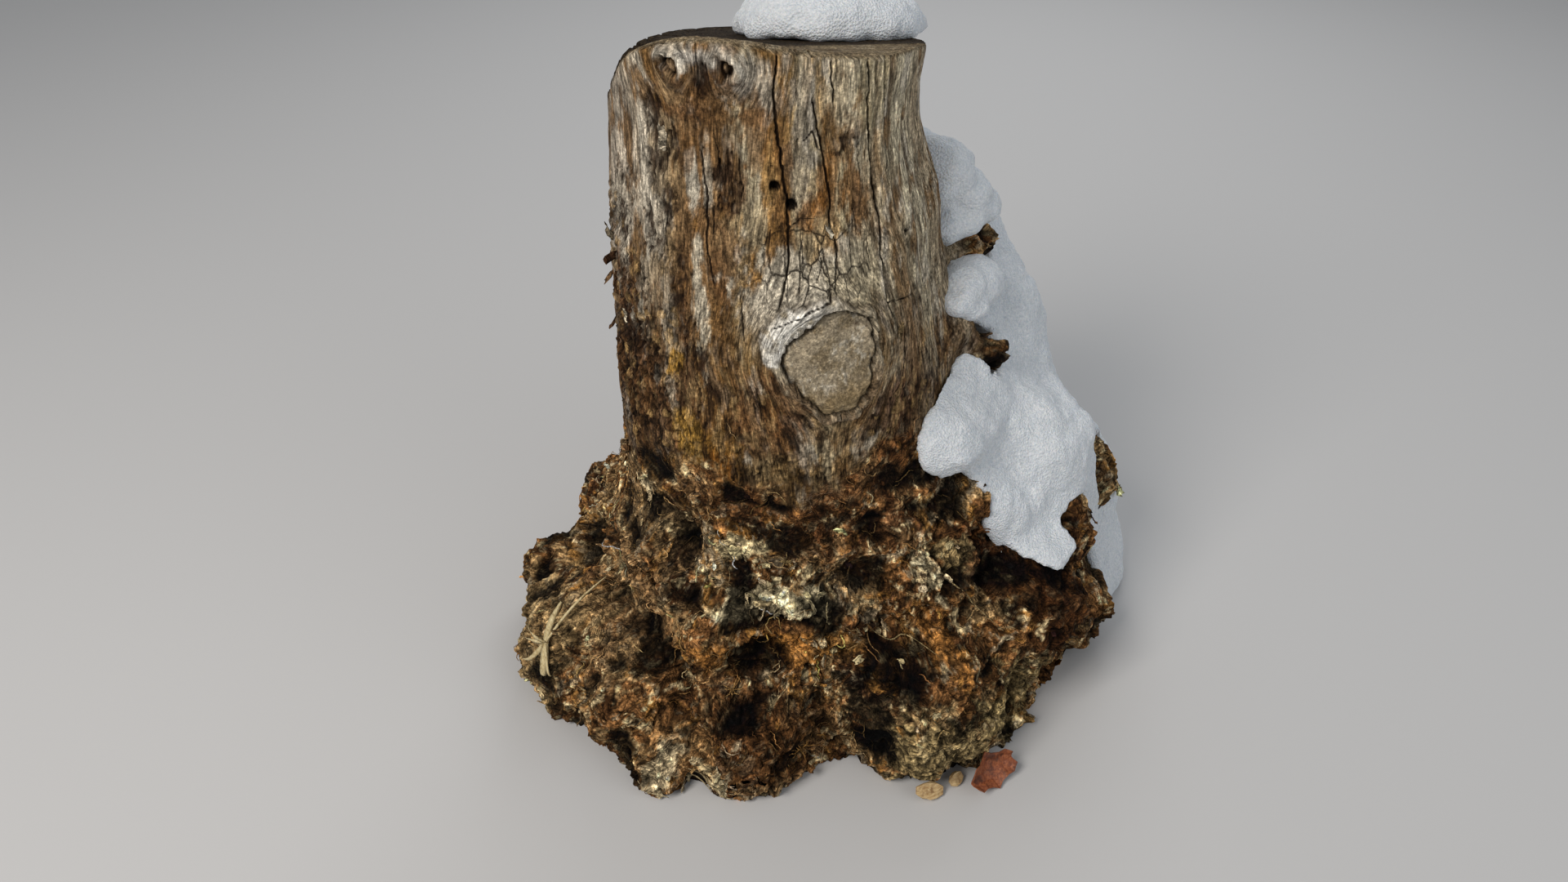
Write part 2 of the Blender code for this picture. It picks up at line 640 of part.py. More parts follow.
def build():
    clear_scene()
    wood_surface = material("weathered_wood", (0.19, 0.13, 0.08), 0.85)
    snow_surface = material("snow", (0.82, 0.86, 0.90), 0.6)
    straw_surface = material("dry_straw", (0.40, 0.32, 0.19), 0.7)
    leaf_surface = material("dead_leaf", (0.17, 0.055, 0.02), 0.65)
    chip_surface = material("split_wood", (0.45, 0.30, 0.15), 0.75)
    heights, reaches = reach_grid()
    wood = stump_wood(heights, reaches, wood_surface)
    snow_drift(heights, reaches, snow_surface)
    snow_cap(snow_surface)
    bpy.context.view_layer.update()
    tree = surface_tree(wood)
    grass_tuft(tree, straw_surface)
    dead_leaf(tree, leaf_surface)
    for index in range(len(CHIPS)):
        wood_chip(index, tree, chip_surface)


build()
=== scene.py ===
"""A weathered tree stump on a swollen burl, with the snow, grass, leaf and chips that lie on it."""

import math

import bmesh
import bpy
import numpy as np
from mathutils import Matrix, Vector
from mathutils.bvhtree import BVHTree


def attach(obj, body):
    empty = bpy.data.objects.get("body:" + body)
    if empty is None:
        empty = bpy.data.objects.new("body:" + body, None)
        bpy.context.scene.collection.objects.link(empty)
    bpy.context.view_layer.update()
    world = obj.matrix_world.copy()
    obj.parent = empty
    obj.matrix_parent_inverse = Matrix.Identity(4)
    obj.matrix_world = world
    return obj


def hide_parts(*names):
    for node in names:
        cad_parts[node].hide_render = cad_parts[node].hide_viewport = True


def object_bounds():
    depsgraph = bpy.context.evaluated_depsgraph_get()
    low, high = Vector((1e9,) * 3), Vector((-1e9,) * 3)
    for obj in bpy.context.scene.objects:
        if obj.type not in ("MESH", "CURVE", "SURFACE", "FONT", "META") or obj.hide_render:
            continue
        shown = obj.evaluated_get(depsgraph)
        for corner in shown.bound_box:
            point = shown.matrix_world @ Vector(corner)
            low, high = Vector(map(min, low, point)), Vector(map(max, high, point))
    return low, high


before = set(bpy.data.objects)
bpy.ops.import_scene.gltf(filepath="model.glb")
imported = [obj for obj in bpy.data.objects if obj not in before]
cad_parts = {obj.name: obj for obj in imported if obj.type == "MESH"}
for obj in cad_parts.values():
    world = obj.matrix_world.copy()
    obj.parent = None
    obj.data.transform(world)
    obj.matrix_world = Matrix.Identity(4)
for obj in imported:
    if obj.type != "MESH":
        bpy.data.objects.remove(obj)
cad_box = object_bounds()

# Camera
# It stands about 1.4 metres off and looks 37 degrees down on the stump.
CAMERA_PLACE = (0.0, -1.044, 1.0286)
CAMERA_PITCH = 53.0
CAMERA_LENS = 27.19
CAMERA_SENSOR = 36.0

camera_data = bpy.data.cameras.new("camera")
camera_data.sensor_width = CAMERA_SENSOR
camera_data.lens = CAMERA_LENS
camera = bpy.data.objects.new("camera", camera_data)
camera.location = CAMERA_PLACE
camera.rotation_euler = (math.radians(CAMERA_PITCH), 0.0, 0.0)
bpy.context.scene.collection.objects.link(camera)
bpy.context.scene.camera = camera

# The stump's wood: where its surface is
# Trunk and burl grew as one piece of softwood. The surface is read off the solid by level lines from
# outside, on a grid of columns round the trunk's middle line and rows up it, and finer work goes on top.
TRUNK_MIDDLE = ((0.0, 0.36, 0.52, 0.72), (0.006, 0.002, -0.011, -0.021))  # heights, and the lean in x
TRUNK_REACH = ((0.0, 0.20, 0.36, 0.46, 0.55, 0.64, 0.72), (0.186, 0.184, 0.176, 0.162, 0.151, 0.1435, 0.1465))
READ_COLUMNS = 480
READ_ROWS = 240
SOFTEN = 5  # passes that take the solid's facets away
RIM_READ_AT = 0.93  # share of the trunk's reach at which the rim's height is read
TRUNK_TOP_X = -0.0195  # middle of the trunk there
RIM_SOFTEN = 6
COLUMNS = 760
FRONT_CROWDING = 0.45  # the columns stand closer at the front, which is seen from nearest
BANDS = (("burl_foot_wood", 0.0, 0.215, 94), ("burl_crown_wood", 0.215, 0.45, 92),
         ("trunk_lower_wood", 0.45, 0.73, 92), ("trunk_upper_wood", 0.73, 1.0, 80))
# name, the shares of the rim's height that each piece of the surface spans, and its rows
CUT_SHARES = (0.992, 0.978, 0.955, 0.925, 0.885, 0.84, 0.78, 0.71, 0.63, 0.54, 0.44, 0.34, 0.23, 0.12, 0.03)
RIM_DROP = 0.003


def solid_tree(name):
    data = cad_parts[name].data
    faces = [tuple(p.vertices) for p in data.polygons]
    return BVHTree.FromPolygons([v.co.copy() for v in data.vertices], faces)


def middle_x(height):
    return np.interp(height, *TRUNK_MIDDLE)


def smooth(x):
    x = np.clip(x, 0.0, 1.0)
    return x * x * (3.0 - 2.0 * x)


def reach_at(tree, azimuth, height):
    """How far the solid's surface stands from the middle line, seen from outside."""
    turn = math.radians(azimuth)
    away = Vector((math.cos(turn), math.sin(turn), 0.0))
    start = Vector((float(middle_x(height)), 0.0, height)) + away
    found = tree.ray_cast(start, -away)
    return 1.0 - found[3] if found[0] else 0.0


def height_at(tree, x, y):
    found = tree.ray_cast(Vector((x, y, 1.0)), Vector((0.0, 0.0, -1.0)))
    return found[0].z if found[0] else 0.0


wood_tree = solid_tree("stump_wood")
read_azimuths = np.arange(READ_COLUMNS) * 360.0 / READ_COLUMNS
top_reach = np.array([reach_at(wood_tree, a, 0.60) for a in read_azimuths])
rims = []
for azimuth, reach in zip(read_azimuths, top_reach):
    turn = math.radians(azimuth)
    inner = RIM_READ_AT * reach
    rims.append(height_at(wood_tree, TRUNK_TOP_X + inner * math.cos(turn), inner * math.sin(turn)) - RIM_DROP)
rims = np.array(rims)
for _ in range(RIM_SOFTEN):
    rims = (np.roll(rims, 1) + 2 * rims + np.roll(rims, -1)) / 4
read_shares = np.linspace(0.0, 1.0, READ_ROWS)
read_shares[0] = 0.001
read_shares[-1] = 0.998
reaches = np.array([[reach_at(wood_tree, a, share * rim) for a, rim in zip(read_azimuths, rims)]
                    for share in read_shares])

# Narrow checks and borings are closed first, because sharper ones are cut further down
NARROW = (1, 2, 3)  # columns either side
closed = reaches.copy()
for step in NARROW:
    closed = np.maximum(closed, np.maximum(np.roll(reaches, step, 1), np.roll(reaches, -step, 1)))
opened = closed.copy()
for step in NARROW:
    opened = np.minimum(opened, np.minimum(np.roll(closed, step, 1), np.roll(closed, -step, 1)))
on_trunk = smooth((read_shares - 0.50) / 0.05)[:, None]
reaches = reaches * (1 - on_trunk) + opened * on_trunk
for _ in range(SOFTEN):
    reaches = (np.roll(reaches, 1, 1) + 2 * reaches + np.roll(reaches, -1, 1)) / 4
    ends = np.vstack((reaches[:1], reaches, reaches[-1:]))
    reaches = (ends[:-2] + 2 * reaches + ends[2:]) / 4

place_round = np.arange(COLUMNS) / COLUMNS - 0.5
crowding = FRONT_CROWDING * np.sin(2 * np.pi * place_round) / (2 * np.pi)
azimuths = (270.0 + 360.0 * (place_round - crowding)) % 360.0
side_shares = np.concatenate([np.linspace(bottom, top, rows)[min(n, 1):]
                              for n, (_, bottom, top, rows) in enumerate(BANDS)])


def between(grid, shares, at):
    """The grid's values at any share of the height and azimuth, by straight interpolation."""
    column = at / 360.0 * READ_COLUMNS
    left = np.floor(column).astype(int) % READ_COLUMNS
    right = (left + 1) % READ_COLUMNS
    over = column - np.floor(column)
    rows = np.array([np.interp(shares, read_shares, grid[:, c]) for c in range(READ_COLUMNS)]).T
    return rows[:, left] * (1 - over) + rows[:, right] * over


side_reach = between(reaches, side_shares, azimuths)
rim_height = np.interp(azimuths, np.append(read_azimuths, 360.0), np.append(rims, rims[0]))
side_height = side_shares[:, None] * rim_height[None, :]
turns = np.radians(azimuths)
rim_reach = side_reach[-1]
cut_reach = np.array(CUT_SHARES)[:, None] * rim_reach[None, :]
cut_x = middle_x(rim_height)[None, :] + cut_reach * np.cos(turns)
cut_y = cut_reach * np.sin(turns)
cut_height = np.array([[height_at(wood_tree, x, y) for x, y in zip(*row)] for row in zip(cut_x, cut_y)])
cut_height = np.where(cut_height < 0.5, rim_height[None, :], cut_height)
near_rim = smooth((np.array(CUT_SHARES) - 0.9) / 0.1)[:, None]
cut_height = cut_height * (1 - near_rim) + np.maximum(rim_height + 0.002, cut_height[3]) * near_rim
base = np.stack((
    np.vstack((middle_x(side_height) + side_reach * np.cos(turns), cut_x)),
    np.vstack((side_reach * np.sin(turns), cut_y)),
    np.vstack((side_height, cut_height)),
), axis=-1)
reach = np.vstack((side_reach, cut_reach))
height = base[..., 2]
azimuth = np.broadcast_to(azimuths, height.shape)
side = np.zeros(height.shape)
side[: len(side_shares)] = 1.0
on_cut = 1.0 - side


def outward_normals(points):
    """Unit normals of a grid of points that closes on itself round the trunk."""
    along = np.roll(points, -1, 1) - np.roll(points, 1, 1)
    ends = np.concatenate((points[:1], points, points[-1:]))
    normal = np.cross(along, ends[2:] - ends[:-2])
    return normal / np.maximum(np.linalg.norm(normal, axis=-1, keepdims=True), 1e-12)


normals = outward_normals(base)

# The stump's wood: noise
# Weather and growth leave marks of every size. These give them, seeded, with sizes in millimetres.


def chance(x, y, z, seed):
    """A repeatable number from 0 to 1 for each whole-number place."""
    n = (x * 73856093) ^ (y * 19349663) ^ (z * 83492791) ^ (seed * 40503 + 97)
    n = ((n ^ (n >> 15)) * 2246822519) & 0xFFFFFFFF
    n = ((n ^ (n >> 13)) * 3266489917) & 0xFFFFFFFF
    return ((n ^ (n >> 16)) & 0xFFFFFF) / 0xFFFFFF


def soft_noise(points, size, seed=0, stretch=1.0):
    """Smooth noise from -1 to 1 whose swells are about size across, drawn out upwards by the stretch."""
    p = points * 1000.0 / np.array((size, size, size * stretch))
    cell = np.floor(p).astype(np.int64)
    f = p - cell
    f = f * f * f * (f * (f * 6 - 15) + 10)
    x, y, z = cell[..., 0], cell[..., 1], cell[..., 2]
    total = 0.0
    for i in (0, 1):
        for j in (0, 1):
            for k in (0, 1):
                weight = np.abs(1 - i - f[..., 0]) * np.abs(1 - j - f[..., 1]) * np.abs(1 - k - f[..., 2])
                total = total + weight * chance(x + i, y + j, z + k, seed)
    return total * 2 - 1


def rough_noise(points, size, seed=0, stretch=1.0, layers=4, falloff=0.55):
    total, weight, whole = 0.0, 1.0, 0.0
    for n in range(layers):
        total = total + weight * soft_noise(points + n * 0.137, size / 2**n, seed + n, stretch)
        whole += weight
        weight *= falloff
    return total / whole * 1.6


def ridges(points, size, seed=0, stretch=1.0):
    """Noise from 0 in the folds to 1 on narrow crests."""
    return 1.0 - np.abs(soft_noise(points, size, seed, stretch)) * 2.0


def flakes_at(points, size, seed=0):
    """The flake that each point is on: the way to its middle, how near the next one is, and its number."""
    p = points * 1000.0 / size
    cell = np.floor(p).astype(np.int64)
    first = np.full(p.shape[:-1], 9.0)
    second = np.full(p.shape[:-1], 9.0)
    number = np.zeros(p.shape[:-1])
    away = np.zeros(p.shape)
    for i in (-1, 0, 1):
        for j in (-1, 0, 1):
            for k in (-1, 0, 1):
                x, y, z = cell[..., 0] + i, cell[..., 1] + j, cell[..., 2] + k
                d = np.stack((x + chance(x, y, z, seed), y + chance(x, y, z, seed + 11),
                              z + chance(x, y, z, seed + 23)), axis=-1) - p
                far = np.sqrt((d * d).sum(axis=-1))
                nearer = far < first
                second = np.where(nearer, first, np.minimum(second, far))
                number = np.where(nearer, chance(x, y, z, seed + 37), number)
                away = np.where(nearer[..., None], d, away)
                first = np.where(nearer, far, first)
    return away * size, second - first, number


def tilted(away, number):
    """How far each flake's face rises at the point, in mm, from a lean that its number gives."""
    turn, lift = number * 2 * np.pi * 7.0, np.cos(number * 2 * np.pi * 5.0)
    flat = np.sqrt(1.0 - lift**2)
    return -(away[..., 0] * flat * np.cos(turn) + away[..., 1] * flat * np.sin(turn) + away[..., 2] * lift)


def along_fibres(points, number, squeeze=0.18):
    """The points drawn together along the way that each flake's fibres run, for noise drawn out that way."""
    turn, lift = number * 2 * np.pi * 11.0, 0.9 * np.cos(number * 2 * np.pi * 3.0)
    flat = np.sqrt(1.0 - lift**2)
    way = np.stack((flat * np.cos(turn), flat * np.sin(turn), lift), axis=-1)
    along = (points * way).sum(axis=-1) * (1.0 - squeeze)
    return points - way * along[..., None] + number[..., None] * 0.37


def where_needed(share, make):
    """What make gives for the base points where the share isn't nil, and nil elsewhere."""
    needed = share > 0.001
    total = np.zeros(share.shape)
    total[needed] = make(base[needed], needed)
    return total


# The stump's wood: where trunk, burl, branch scar and knots are
# Azimuths are in degrees from +X towards +Y, heights in metres, and other sizes in millimetres.
BURL_LINE = 0.350  # height at which the straight grain turns into curly grain
SCAR_PLACE = (286.8, 0.454)
SCAR_FACE = (
    (-146, 41), (-117, 48), (-88, 55), (-59, 49), (-19, 40), (30, 46), (55, 51), (77, 46), (100, 40),
    (119, 37), (151, 41), (170, 43),
)
SCAR_COLLAR = (
    (-172, 55), (-139, 50), (-107, 60), (-81, 63), (-38, 52), (9, 48), (48, 57), (86, 59), (112, 61),
    (126, 65), (148, 69), (168, 66),
)
KNOT_PLACES = ((243.5, 0.708), (260.5, 0.709))
KNOT_RADIUS = 13.0
SCAR_FLOW_RADIUS = 44.0  # of the stone that the grain runs round at the scar
FAR = 20.0  # millimetres, for what is nowhere near a check or a hole
HOLES = ((273.1, 0.611, 4.8), (278.2, 0.595, 4.8), (323.4, 0.544, 3.2))  # with their radii


def across(azimuth_0):
    """Millimetres round the surface from an azimuth."""
    return np.radians((azimuth - azimuth_0 + 180.0) % 360.0 - 180.0) * reach * 1000.0


def above(height_0):
    return (height - height_0) * 1000.0


def outline(table, angle):
    """Radius of an outline at an angle in degrees, through (angle, radius) points."""
    angles = np.array([a for a, _ in table], dtype=float)
    radii = np.array([r for _, r in table], dtype=float)
    return np.interp(angle, np.concatenate((angles[-1:] - 360, angles, angles[:1] + 360)),
                     np.concatenate((radii[-1:], radii, radii[:1])))


def zone(azimuth_0, height_0, half_width, half_height):
    """Distance from a place, in shares of an ellipse's half width and half height in mm."""
    return np.sqrt((across(azimuth_0) / half_width) ** 2 + (above(height_0) / half_height) ** 2)


trunk_reach = np.interp(height, *TRUNK_REACH)
burl_line = BURL_LINE + 0.022 * smooth((azimuth - 292.0) / 14.0) * smooth((350.0 - azimuth) / 20.0)
curly = smooth((burl_line + 0.050 * rough_noise(base, 42, 3, 1.0, 4) - height) / 0.045)
curly = np.maximum(curly, smooth((reach - 1.09 * trunk_reach) / 0.02)) * side
straight = (1.0 - curly) * side
warp = np.stack([where_needed(curly, lambda p, _, n=n: soft_noise(p, 24, 40 + n)) for n in range(3)], axis=-1)
warped = base + 0.008 * warp
swirl = warped + 0.005 * np.stack(
    [where_needed(curly, lambda _, m, n=n: soft_noise(warped[m], 11, 50 + n)) for n in range(3)], axis=-1)

scar_x, scar_z = across(SCAR_PLACE[0]), above(SCAR_PLACE[1])
scar_r = np.hypot(scar_x, scar_z) + 4.5 * rough_noise(base, 13, 61, 1.0, 4)
scar_angle = np.degrees(np.arctan2(scar_z, scar_x))
face_r = outline(SCAR_FACE, scar_angle)
collar_r = outline(SCAR_COLLAR, scar_angle)
collar_share = (scar_r - face_r) / (collar_r - face_r)
scar_face = smooth((0.5 - (scar_r - face_r)) / 1.5)
scar_collar = smooth((scar_r - face_r) / 1.5) * smooth((1.08 - collar_share) / 0.16)
scar_gap = np.exp(-(((scar_r - face_r) / 1.8) ** 2))
scar_edge = np.exp(-(((scar_r - collar_r) / 3.0) ** 2))
not_scar = (1 - scar_face) * (1 - scar_collar)

# The grain runs round the scar and the rim's knots like water round a stone
flow_turn = across(270.0)
STONES = ((*SCAR_PLACE, SCAR_FLOW_RADIUS), *((*place, KNOT_RADIUS) for place in KNOT_PLACES))
for flow_azimuth, flow_height, radius in STONES:
    from_x, from_z = across(flow_azimuth), above(flow_height)
    squared = from_x**2 + from_z**2
    flow_turn = flow_turn - np.where(squared > radius**2, from_x * radius**2 / np.maximum(squared, 1.0), 0.0)
flow_angle = math.radians(270.0) + flow_turn / 1000.0 / reach
flow = np.stack((middle_x(height) + reach * np.cos(flow_angle), reach * np.sin(flow_angle), height), axis=-1)
flow = flow + 0.0035 * np.stack([soft_noise(base, 32, 65 + n, 1.6) for n in range(3)], axis=-1)
flow[on_cut > 0.5] = base[on_cut > 0.5]
flow[..., 2] += (height - SCAR_PLACE[1]) * scar_face * 5.0  # no grain runs across the cut branch's face
flow[..., :2] *= (1.0 - 0.4 * scar_face)[..., None]

# The stump's wood: checks, borings and worn patches
# Dry wood splits along its grain. Each check is a line of places, with its half width and depth in mm, and
# each place is an azimuth and a height.
CHECKS = (
    (0.9, 7.0, ((276.4, 0.724), (274.6, 0.695), (274.8, 0.663), (275.9, 0.628), (276.7, 0.603),
            (276.5, 0.556), (274.6, 0.530), (271.8, 0.508))),
    (0.7, 6.0, ((287.0, 0.683), (288.0, 0.665), (289.7, 0.642), (291.6, 0.602), (290.8, 0.575),
            (292.4, 0.551), (290.0, 0.519))),
    (0.8, 7.0, ((306.8, 0.708), (308.7, 0.624), (310.5, 0.569), (309.1, 0.534), (309.3, 0.490),
            (312.0, 0.470))),
    (0.8, 3.5, ((309.3, 0.490), (316.0, 0.486), (322.7, 0.483))),
    (0.6, 4.0, ((293.8, 0.716), (294.0, 0.690), (294.7, 0.676))),
    (0.6, 4.0, ((313.3, 0.706), (315.5, 0.660), (317.2, 0.625), (318.0, 0.585))),
    (0.7, 3.0, ((288.5, 0.520), (287.5, 0.512), (284.0, 0.509), (277.0, 0.500), (270.0, 0.492))),
    (0.7, 3.0, ((276.5, 0.575), (281.0, 0.583), (286.0, 0.580))),
    (0.7, 3.0, ((284.0, 0.648), (287.0, 0.655), (288.5, 0.640), (291.0, 0.637))),
    (0.5, 3.0, ((280.5, 0.560), (279.5, 0.535), (278.5, 0.520))),
    (0.5, 3.0, ((286.0, 0.560), (286.5, 0.540), (284.5, 0.528))),
    (0.6, 4.0, ((316.0, 0.470), (314.0, 0.430), (310.0, 0.405), (305.0, 0.395))),
    (0.7, 3.5, ((250.0, 0.640), (251.0, 0.600), (250.0, 0.560), (252.0, 0.520))),
)
LONG_CHECKS_BEHIND = 16
SHORT_CHECKS = 60
random = np.random.default_rng(7)
checks = list(CHECKS)
for _ in range(LONG_CHECKS_BEHIND):
    at = random.uniform(-15.0, 200.0)
    top = random.uniform(0.58, 0.64)
    line = []
    for z in np.arange(top, top - random.uniform(0.10, 0.26), -0.03):
        at += random.normal(0.0, 1.0)
        line.append((at % 360.0, z))
    checks.append((random.uniform(0.8, 1.7), random.uniform(4.0, 9.0), line))
for _ in range(SHORT_CHECKS):
    at, top = random.uniform(0.0, 360.0), random.uniform(0.40, 0.70)
    lean = random.normal(0.0, 0.5)
    tall = random.uniform(0.012, 0.045)
    below = (at + lean) % 360.0
    checks.append((0.4, 1.6, ((at, top), (below, top - tall / 2), (below, top - tall))))

crack_gap = np.full(height.shape, FAR)  # millimetres from the nearest check's edge
crack_depth = np.zeros(height.shape)
ragged_x = 1.1 * soft_noise(base, 8, 71) + 0.7 * soft_noise(base, 3, 72)
ragged_z = 0.9 * soft_noise(base, 7, 73)
for half_width, depth, line in checks:
    rows = np.flatnonzero((height[:, 0] < line[0][1] + 0.12) & (height[:, 0] > line[-1][1] - 0.12))
    rows = slice(rows[0], rows[-1] + 1)
    for n, ((a0, z0), (a1, z1)) in enumerate(zip(line, line[1:])):
        px, pz = (across(a0) + ragged_x)[rows], (above(z0) + ragged_z)[rows]
        turn_mm = math.radians((a1 - a0 + 180.0) % 360.0 - 180.0) * reach[rows] * 1000.0
        rise_mm = (z1 - z0) * 1000.0
        share = np.clip((px * turn_mm + pz * rise_mm) / (turn_mm**2 + rise_mm**2), 0.0, 1.0)
        gap = np.hypot(px - share * turn_mm, pz - share * rise_mm)
        whole = (n + share) / (len(line) - 1)
        width = half_width * (0.35 + 0.65 * np.sin(np.pi * np.clip(whole, 0.04, 0.96)) ** 0.5)
        crack_gap[rows] = np.minimum(crack_gap[rows], gap - width)
        crack_depth[rows] = np.maximum(crack_depth[rows], depth * np.exp(-((gap / (width + 0.4)) ** 2)))
crack_depth *= 0.5 * side * not_scar
crack_gap = np.where((side > 0.5) & (scar_face < 0.1), crack_gap, FAR)

hole_gap = np.full(height.shape, FAR)
for hole_azimuth, hole_height, radius in HOLES:
    hole_gap = np.minimum(hole_gap, np.hypot(across(hole_azimuth), above(hole_height)) - radius)

WORN_PATCHES = (
    (234, 0.655, 14, 26), (233, 0.620, 12, 24), (232, 0.560, 18, 26), (237, 0.585, 9, 30),
    (241, 0.640, 7, 24), (250, 0.660, 7, 20), (240, 0.520, 12, 40), (212, 0.560, 22, 50),
    (213, 0.430, 40, 60), (258.5, 0.610, 12, 26), (298, 0.640, 12, 14), (244, 0.440, 12, 50),
    (252, 0.704, 7, 14), (100, 0.560, 60, 80), (150, 0.450, 70, 90), (60, 0.620, 30, 60),
)
worn_zone = np.zeros(height.shape)
for patch in WORN_PATCHES:
    worn_zone = np.maximum(worn_zone, np.exp(-(zone(*patch) ** 2)))
worn_field = rough_noise(flow, 8, 81, 2.0, 4, 0.7) + 1.45 * worn_zone - 0.82
worn = smooth(worn_field / 0.22) * straight * not_scar
ROTTEN = (
    (216, 0.430, 58, 90, 1.0), (226, 0.345, 70, 50, 1.0), (250, 0.345, 50, 34, 0.8),
    (232, 0.430, 26, 70, 0.8), (310, 0.375, 44, 30, 0.7), (200, 0.530, 30, 50, 0.9),
    (150, 0.380, 60, 60, 0.8), (60, 0.500, 60, 40, 0.7), (272, 0.335, 90, 24, 0.8),
    (255, 0.440, 8, 60, 0.7), (264, 0.400, 8, 40, 0.6),
)
rotten = np.zeros(height.shape)
ragged = 0.35 * rough_noise(base, 14, 85, 1.5, 3)
for *patch, strength in ROTTEN:
    rotten = np.maximum(rotten, strength * smooth((1.25 - zone(*patch) + ragged) / 0.4))
rotten *= straight * not_scar

knot_r = np.full(height.shape, 99.0)
knot_up = np.zeros(height.shape)
for knot in KNOT_PLACES:
    from_x, from_z = across(knot[0]), above(knot[1])
    r = np.hypot(from_x * 1.15, from_z + 0.25 * from_x) + 3.2 * rough_noise(base, 9, 91, 1.0, 2)
    knot_up = np.where(r < knot_r, np.clip((from_z + 0.4 * from_x) / 9.0, -1, 1), knot_up)
    knot_r = np.minimum(knot_r, r)
knot_core = smooth((4.5 - knot_r) / 2.0)
knot_pit = smooth((9.0 - knot_r) / 2.5) * (1.0 - 0.6 * knot_core)
knot_rim = np.exp(-(((knot_r - KNOT_RADIUS) / 4.2) ** 2))

# The stump's wood: relief
# Straight grain stands in fine upright ribs. The burl is covered with leaning flakes, folds and hollows,
# and its rot has crumbled away between them.
PITH = (-0.024, 0.004)
DEEPEST, HIGHEST = -18.0, 10.0  # millimetres that the relief may sink and stand out
HOLE_DEPTH = 7.0
INSIDE_BOX = 0.0005  # metres that the finer surface stays inside the solids' box
FILLET_PASSES = 90  # that round the inner corner where the trunk meets the burl
PALE_LUMPS = (
    (268, 0.188, 34, 14), (258, 0.246, 32, 12), (308.5, 0.214, 12, 24), (316, 0.222, 18, 15),
    (274, 0.146, 30, 12), (247, 0.028, 16, 18), (300, 0.065, 60, 30), (218, 0.272, 14, 12),
    (264, 0.318, 44, 18),
)
ribs = 0.55 * soft_noise(flow, 3.2, 101, 22.0) + 0.45 * soft_noise(flow, 6.5, 102, 16.0)
flutes = soft_noise(flow, 15, 103, 9.0)
right_third = smooth((azimuth - 294.0) / 8.0) * smooth((354.0 - azimuth) / 8.0)
grooves = -np.abs(soft_noise(flow, 9.0, 104, 30.0)) * right_third
trunk_relief = 0.4 * ribs + 1.4 * flutes + 2.2 * grooves + 0.5 * rough_noise(base, 9, 105, 2.0)
trunk_relief -= worn * (2.4 + 1.8 * rough_noise(base, 6, 106, 1.6))
trunk_relief -= crack_depth + HOLE_DEPTH * smooth(-hole_gap / 1.5)

crumb_away, crumb_edge, crumb_number = flakes_at(base + 0.35 * (flow - base) + 0.004 * warp, 8.0, 107)
crust_relief = 0.28 * tilted(crumb_away, crumb_number) + 2.0 * (crumb_number - 0.5)
crust_relief = crust_relief - 1.4 * smooth(1 - crumb_edge / 0.2)
trunk_relief += rotten * crust_relief

fold = where_needed(curly, lambda p, m: ridges(warped[m], 44, 111))
fold_low, fold_high = np.percentile(fold[curly > 0.5], (9, 44))
lump_edge = 0.4 * rough_noise(base, 12, 119, 1.0, 3)
for lump in PALE_LUMPS:
    share = smooth((1.2 - zone(*lump) + lump_edge) / 0.5)
    fold = np.maximum(fold, share * (fold_high + 0.15) - (1.0 - share) * 9.0)
fold_small = where_needed(curly, lambda p, m: ridges(swirl[m], 12, 112))
crumb = where_needed(curly, lambda p, m: rough_noise(swirl[m], 6.0, 114, 1.0, 2))
lower_rows = sum(rows for _, _, _, rows in BANDS[:3])  # the burl reaches no higher


def flake_layer(size, seed):
    """The lean, edge and number of the burl's flakes of one size, and nil on the rows above the burl."""
    away, edge, number = flakes_at(swirl[:lower_rows], size, seed)
    for part in (tilted(away, number), edge, number):
        total = np.zeros(height.shape)
        total[:lower_rows] = part
        yield total


big_lean, big_edge, big_number = flake_layer(24.0, 115)
mid_lean, mid_edge, mid_number = flake_layer(11.0, 116)
big_seam = smooth(1.0 - big_edge / 0.16)
mid_seam = smooth(1.0 - mid_edge / 0.18)
hollow = smooth((big_number - 0.86) / 0.03) * smooth(big_edge / 0.5)
fibre = where_needed(curly, lambda _, m: soft_noise(along_fibres(swirl[m], big_number[m]), 5.5, 117))
fibre_fine = where_needed(curly, lambda _, m: soft_noise(along_fibres(swirl[m], mid_number[m]), 3.4, 118))
burl_relief = 7.0 * (fold - 0.5) + 0.20 * big_lean + 2.6 * (big_number - 0.5) + 0.13 * mid_lean
burl_relief += 1.2 * (mid_number - 0.5) + 1.6 * (fold_small - 0.4)
burl_relief += 0.7 * crumb + 1.9 * fibre + 1.0 * fibre_fine
burl_relief -= 2.4 * big_seam + 1.0 * mid_seam + 8.0 * hollow
burl_depth = curly * (0.35 + 0.65 * smooth((reach / trunk_reach - 1.0) / 0.16))

rounded = reach.copy()
for _ in range(FILLET_PASSES):
    rounded[1:-1] = (rounded[:-2] + 2 * rounded[1:-1] + rounded[2:]) / 4
fillet = np.clip((rounded - reach) * 1000.0, 0.0, 9.0)
fillet = fillet * smooth((0.43 - height) / 0.05) * smooth((height - 0.2) / 0.05)

